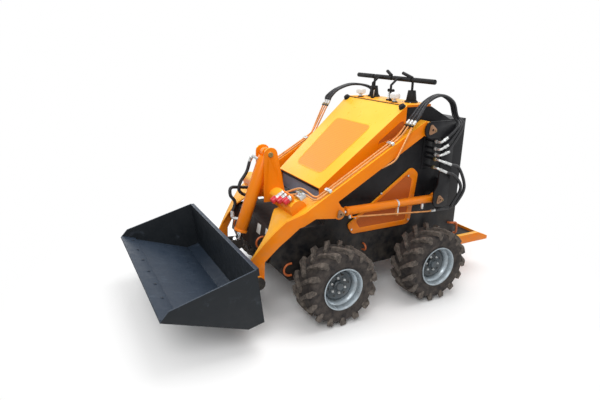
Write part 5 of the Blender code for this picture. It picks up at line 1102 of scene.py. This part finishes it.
platform = {"middle": (0, 1.299, 0.2718), "size": (0.592, 0.282, 0.0022), "rows": 9, "columns": 19, "pitch": 0.030,
            "limit": 0.286, "firstY": 1.180, "ribZ": 0.2728, "rib": (0.018, 0.006, 0.0016), "turn": radians(45)}


def addPlatformParts():
    mesh = bmesh.new()
    addBlock(mesh, spot(*platform["middle"]), platform["size"], 0.0008)
    for row in range(platform["rows"]):
        for column in range(platform["columns"]):
            x = (column - (platform["columns"] - 1) / 2 + (row % 2) / 2) * platform["pitch"]
            if abs(x) < platform["limit"]:
                place = spot(x, platform["firstY"] + row * platform["pitch"], platform["ribZ"])
                turn = Matrix.Rotation(platform["turn"] * (1 if (row + column) % 2 else -1), 4, "Z")
                addBlock(mesh, place, platform["rib"], 0, turn)
    finishPiece("platform_tread", mesh, ("grip",), "chassis")


# Rings: middle, radius, the way that the ring stands out.
rings = {"rings": (((0.3475, -0.225, 0.319), 0.040, (0, -1, 0)), ((0.3405, 0.325, 0.376), 0.022, (1, 0, 0))),
         "out": 0.010, "leg": 0.014, "bar": 0.0070, "hookBar": 0.0080, "hookBend": 0.016,
         "hook": ((0.338, 1.090, 0.432), (0.366, 1.100, 0.436), (0.366, 1.150, 0.432), (0.366, 1.158, 0.400),
                  (0.366, 1.160, 0.350), (0.338, 1.160, 0.338))}


def addRings():                  # bent bars welded to the side plates to tie the machine down
    for side, sign in sides.items():
        mesh = bmesh.new()
        for (x, y, z), radius, (outX, outY, outZ) in rings["rings"]:
            outward = mirrored(sign, outX, outY, outZ)
            middle = spot(sign * x, y, z) + outward * rings["out"]
            turns = [radians(turn) for turn in range(-90, 91, 15)]
            route = [middle + (aboveFloor * sin(turn) + outward * cos(turn)) * radius for turn in turns]
            leg = outward * rings["leg"]
            addTube(mesh, [route[0] - leg, *route, route[-1] - leg], rings["bar"])
        hook = [spot(sign * x, y, z) for x, y, z in rings["hook"]]
        addTube(mesh, rounded(hook, rings["hookBend"]), rings["hookBar"])
        finishPiece("side_rings_" + side, mesh, ("ring",), "chassis", 35)


# Plates: where they are, how wide and tall.
cover = {"x": 0.3526, "bolts": ((0.215, 0.520), (0.690, 0.520), (0.660, 0.840), (0.440, 0.740), (0.240, 0.600)),
         "into": 0.002, "boltDepth": 0.0065, "bolt": 0.0075,
         "plates": (((0.112, -0.34432, 0.532), (0.052, 0.0016, 0.064)),
                    ((0.232, -0.34128, 0.550), (0.040, 0.0016, 0.040))),
         "plateTurn": radians(-9.6)}


def addCoverParts():
    for side, sign in sides.items():
        mesh = bmesh.new()
        for y, z in cover["bolts"]:
            place = spot(sign * (cover["x"] - cover["into"]), y, z)
            addNut(mesh, place, Vector((sign * cover["boltDepth"], 0, 0)), cover["bolt"], 0, 0.0007)
        finishPiece("cover_bolts_" + side, mesh, ("zinc",), "chassis")
    mesh = bmesh.new()
    for place, size in cover["plates"]:
        addBlock(mesh, spot(*place), size, 0.0005, Matrix.Rotation(cover["plateTurn"], 4, "X"))
    finishPiece("bare_plates", mesh, ("paleLabel",), "chassis")


# Carried-over nodes: merged copies with softened edges. A chooser gives each face its finish.

zones = {"upward": 0.35, "coverX": (0.3480, 0.3505), "panelY": 0.05, "panelZ": 0.66,
         "barrel": (0.855, 0.677), "barrelX": 0.420, "barrelSlope": 0.00626, "pipeDrop": 0.045, "bandRadius": 0.0283,
         "bandY": (0.25, 0.70)}


# Faces that face up take the second finish and the others the first: lit and shaded copies of one paint, painted
# light and shade.
def upward(face):
    return 1 if face.normal.z > zones["upward"] else 0


def coverFace(face):             # the recessed middle of a side cover is its perforated sheet
    near, far = zones["coverX"]
    return 2 if abs(face.normal.x) > 0.9 and near < abs(face.calc_center_median().x) < far else upward(face)


def barrelFace(face):            # the hard pipe under the barrel is bare, the band that holds it is zinc plated
    middle = face.calc_center_median()
    y = middle.y - axleToMiddle
    rearY, rearZ = zones["barrel"]
    drop = rearZ + (rearY - y) * zones["barrelSlope"] - middle.z
    if drop > zones["pipeDrop"]:
        return 2
    reach = Vector((abs(middle.x) - zones["barrelX"], drop)).length
    return 1 if reach > zones["bandRadius"] and zones["bandY"][0] < y < zones["bandY"][1] else 0


def panelFace(face):             # the grey-blue panel under the hood's front edge
    middle = face.calc_center_median()
    front = face.normal.y < -0.5 and middle.y - axleToMiddle < zones["panelY"]
    return 1 if front and middle.z > zones["panelZ"] else 0


def dressNode(name, finishes, edge, choose=None):
    mesh = bmesh.new()
    mesh.from_mesh(frame["nodes"][name].data)
    bmesh.ops.remove_doubles(mesh, verts=mesh.verts, dist=0.00005)
    bmesh.ops.dissolve_limit(mesh, angle_limit=radians(1), verts=mesh.verts, edges=mesh.edges)
    for face in mesh.faces:
        face.smooth = True
        face.material_index = choose(face) if choose else 0
    piece = placePiece(name + "_finish", mesh, finishes, nodeBody[name], (name,))
    if edge:
        bevel = piece.modifiers.new("softEdges", "BEVEL")
        bevel.width = edge / 1000
        bevel.segments = 2
        bevel.limit_method = "ANGLE"
        bevel.angle_limit = radians(30)
        bevel.harden_normals = True


# the orange, and its lighter copy that faces which face up take: a painted lit top
painted = ("orange", "yellow")
# Finishes, how far the edges are softened in millimetres, and the chooser. A * stands for each side.
dressing = {"arm_*": (painted, 1.5, upward), "side_cover_*": ((*painted, "sidePerforated"), 2, coverFace),
            "tower_*": (("black",), 1.5), "handle_*": (("grip",), 1),
            "lift_*_barrel": (("orange", "zinc", "copper"), 1, barrelFace), "lift_*_rod": (("chrome",), 0.8),
            "tie_ring_*": (("ring",), 0), "hood": (("orange", "hoodTop"), 2, upward),
            "cross_member": (painted, 1.5, upward), "tilt_barrel": (painted, 1), "tilt_rod": (("chrome",), 0.8),
            "frame": (("black", "greyPanel"), 1.5, panelFace), "engine_block": (("engine",), 3),
            "console": (painted, 1.5, upward), "platform": (painted, 1.5, upward), "axle_front": (("axle",), 1),
            "axle_rear": (("axle",), 1), "bucket": (("bucketOutside", "bucketInside"), 1.5, upward),
            "cutting_edge": (("bucketInside",), 1), "attach_plate": (("black",), 1.5)}

addWheels()
print("wheels are made")
addArmPipes()
addHoses()
print("pipes and hoses are made")
addPins()
addTiltHoses()
addHoodParts()
addConsoleParts()
addBucketParts()
addPlatformParts()
addRings()
addCoverParts()
print("fittings are made")
for side in (*sides, ""):        # each side's nodes, then the single ones
    for pattern, settings in dressing.items():
        if ("*" in pattern) == bool(side):
            dressNode(pattern.replace("*", side), *settings)
print("nodes are dressed")

low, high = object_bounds()
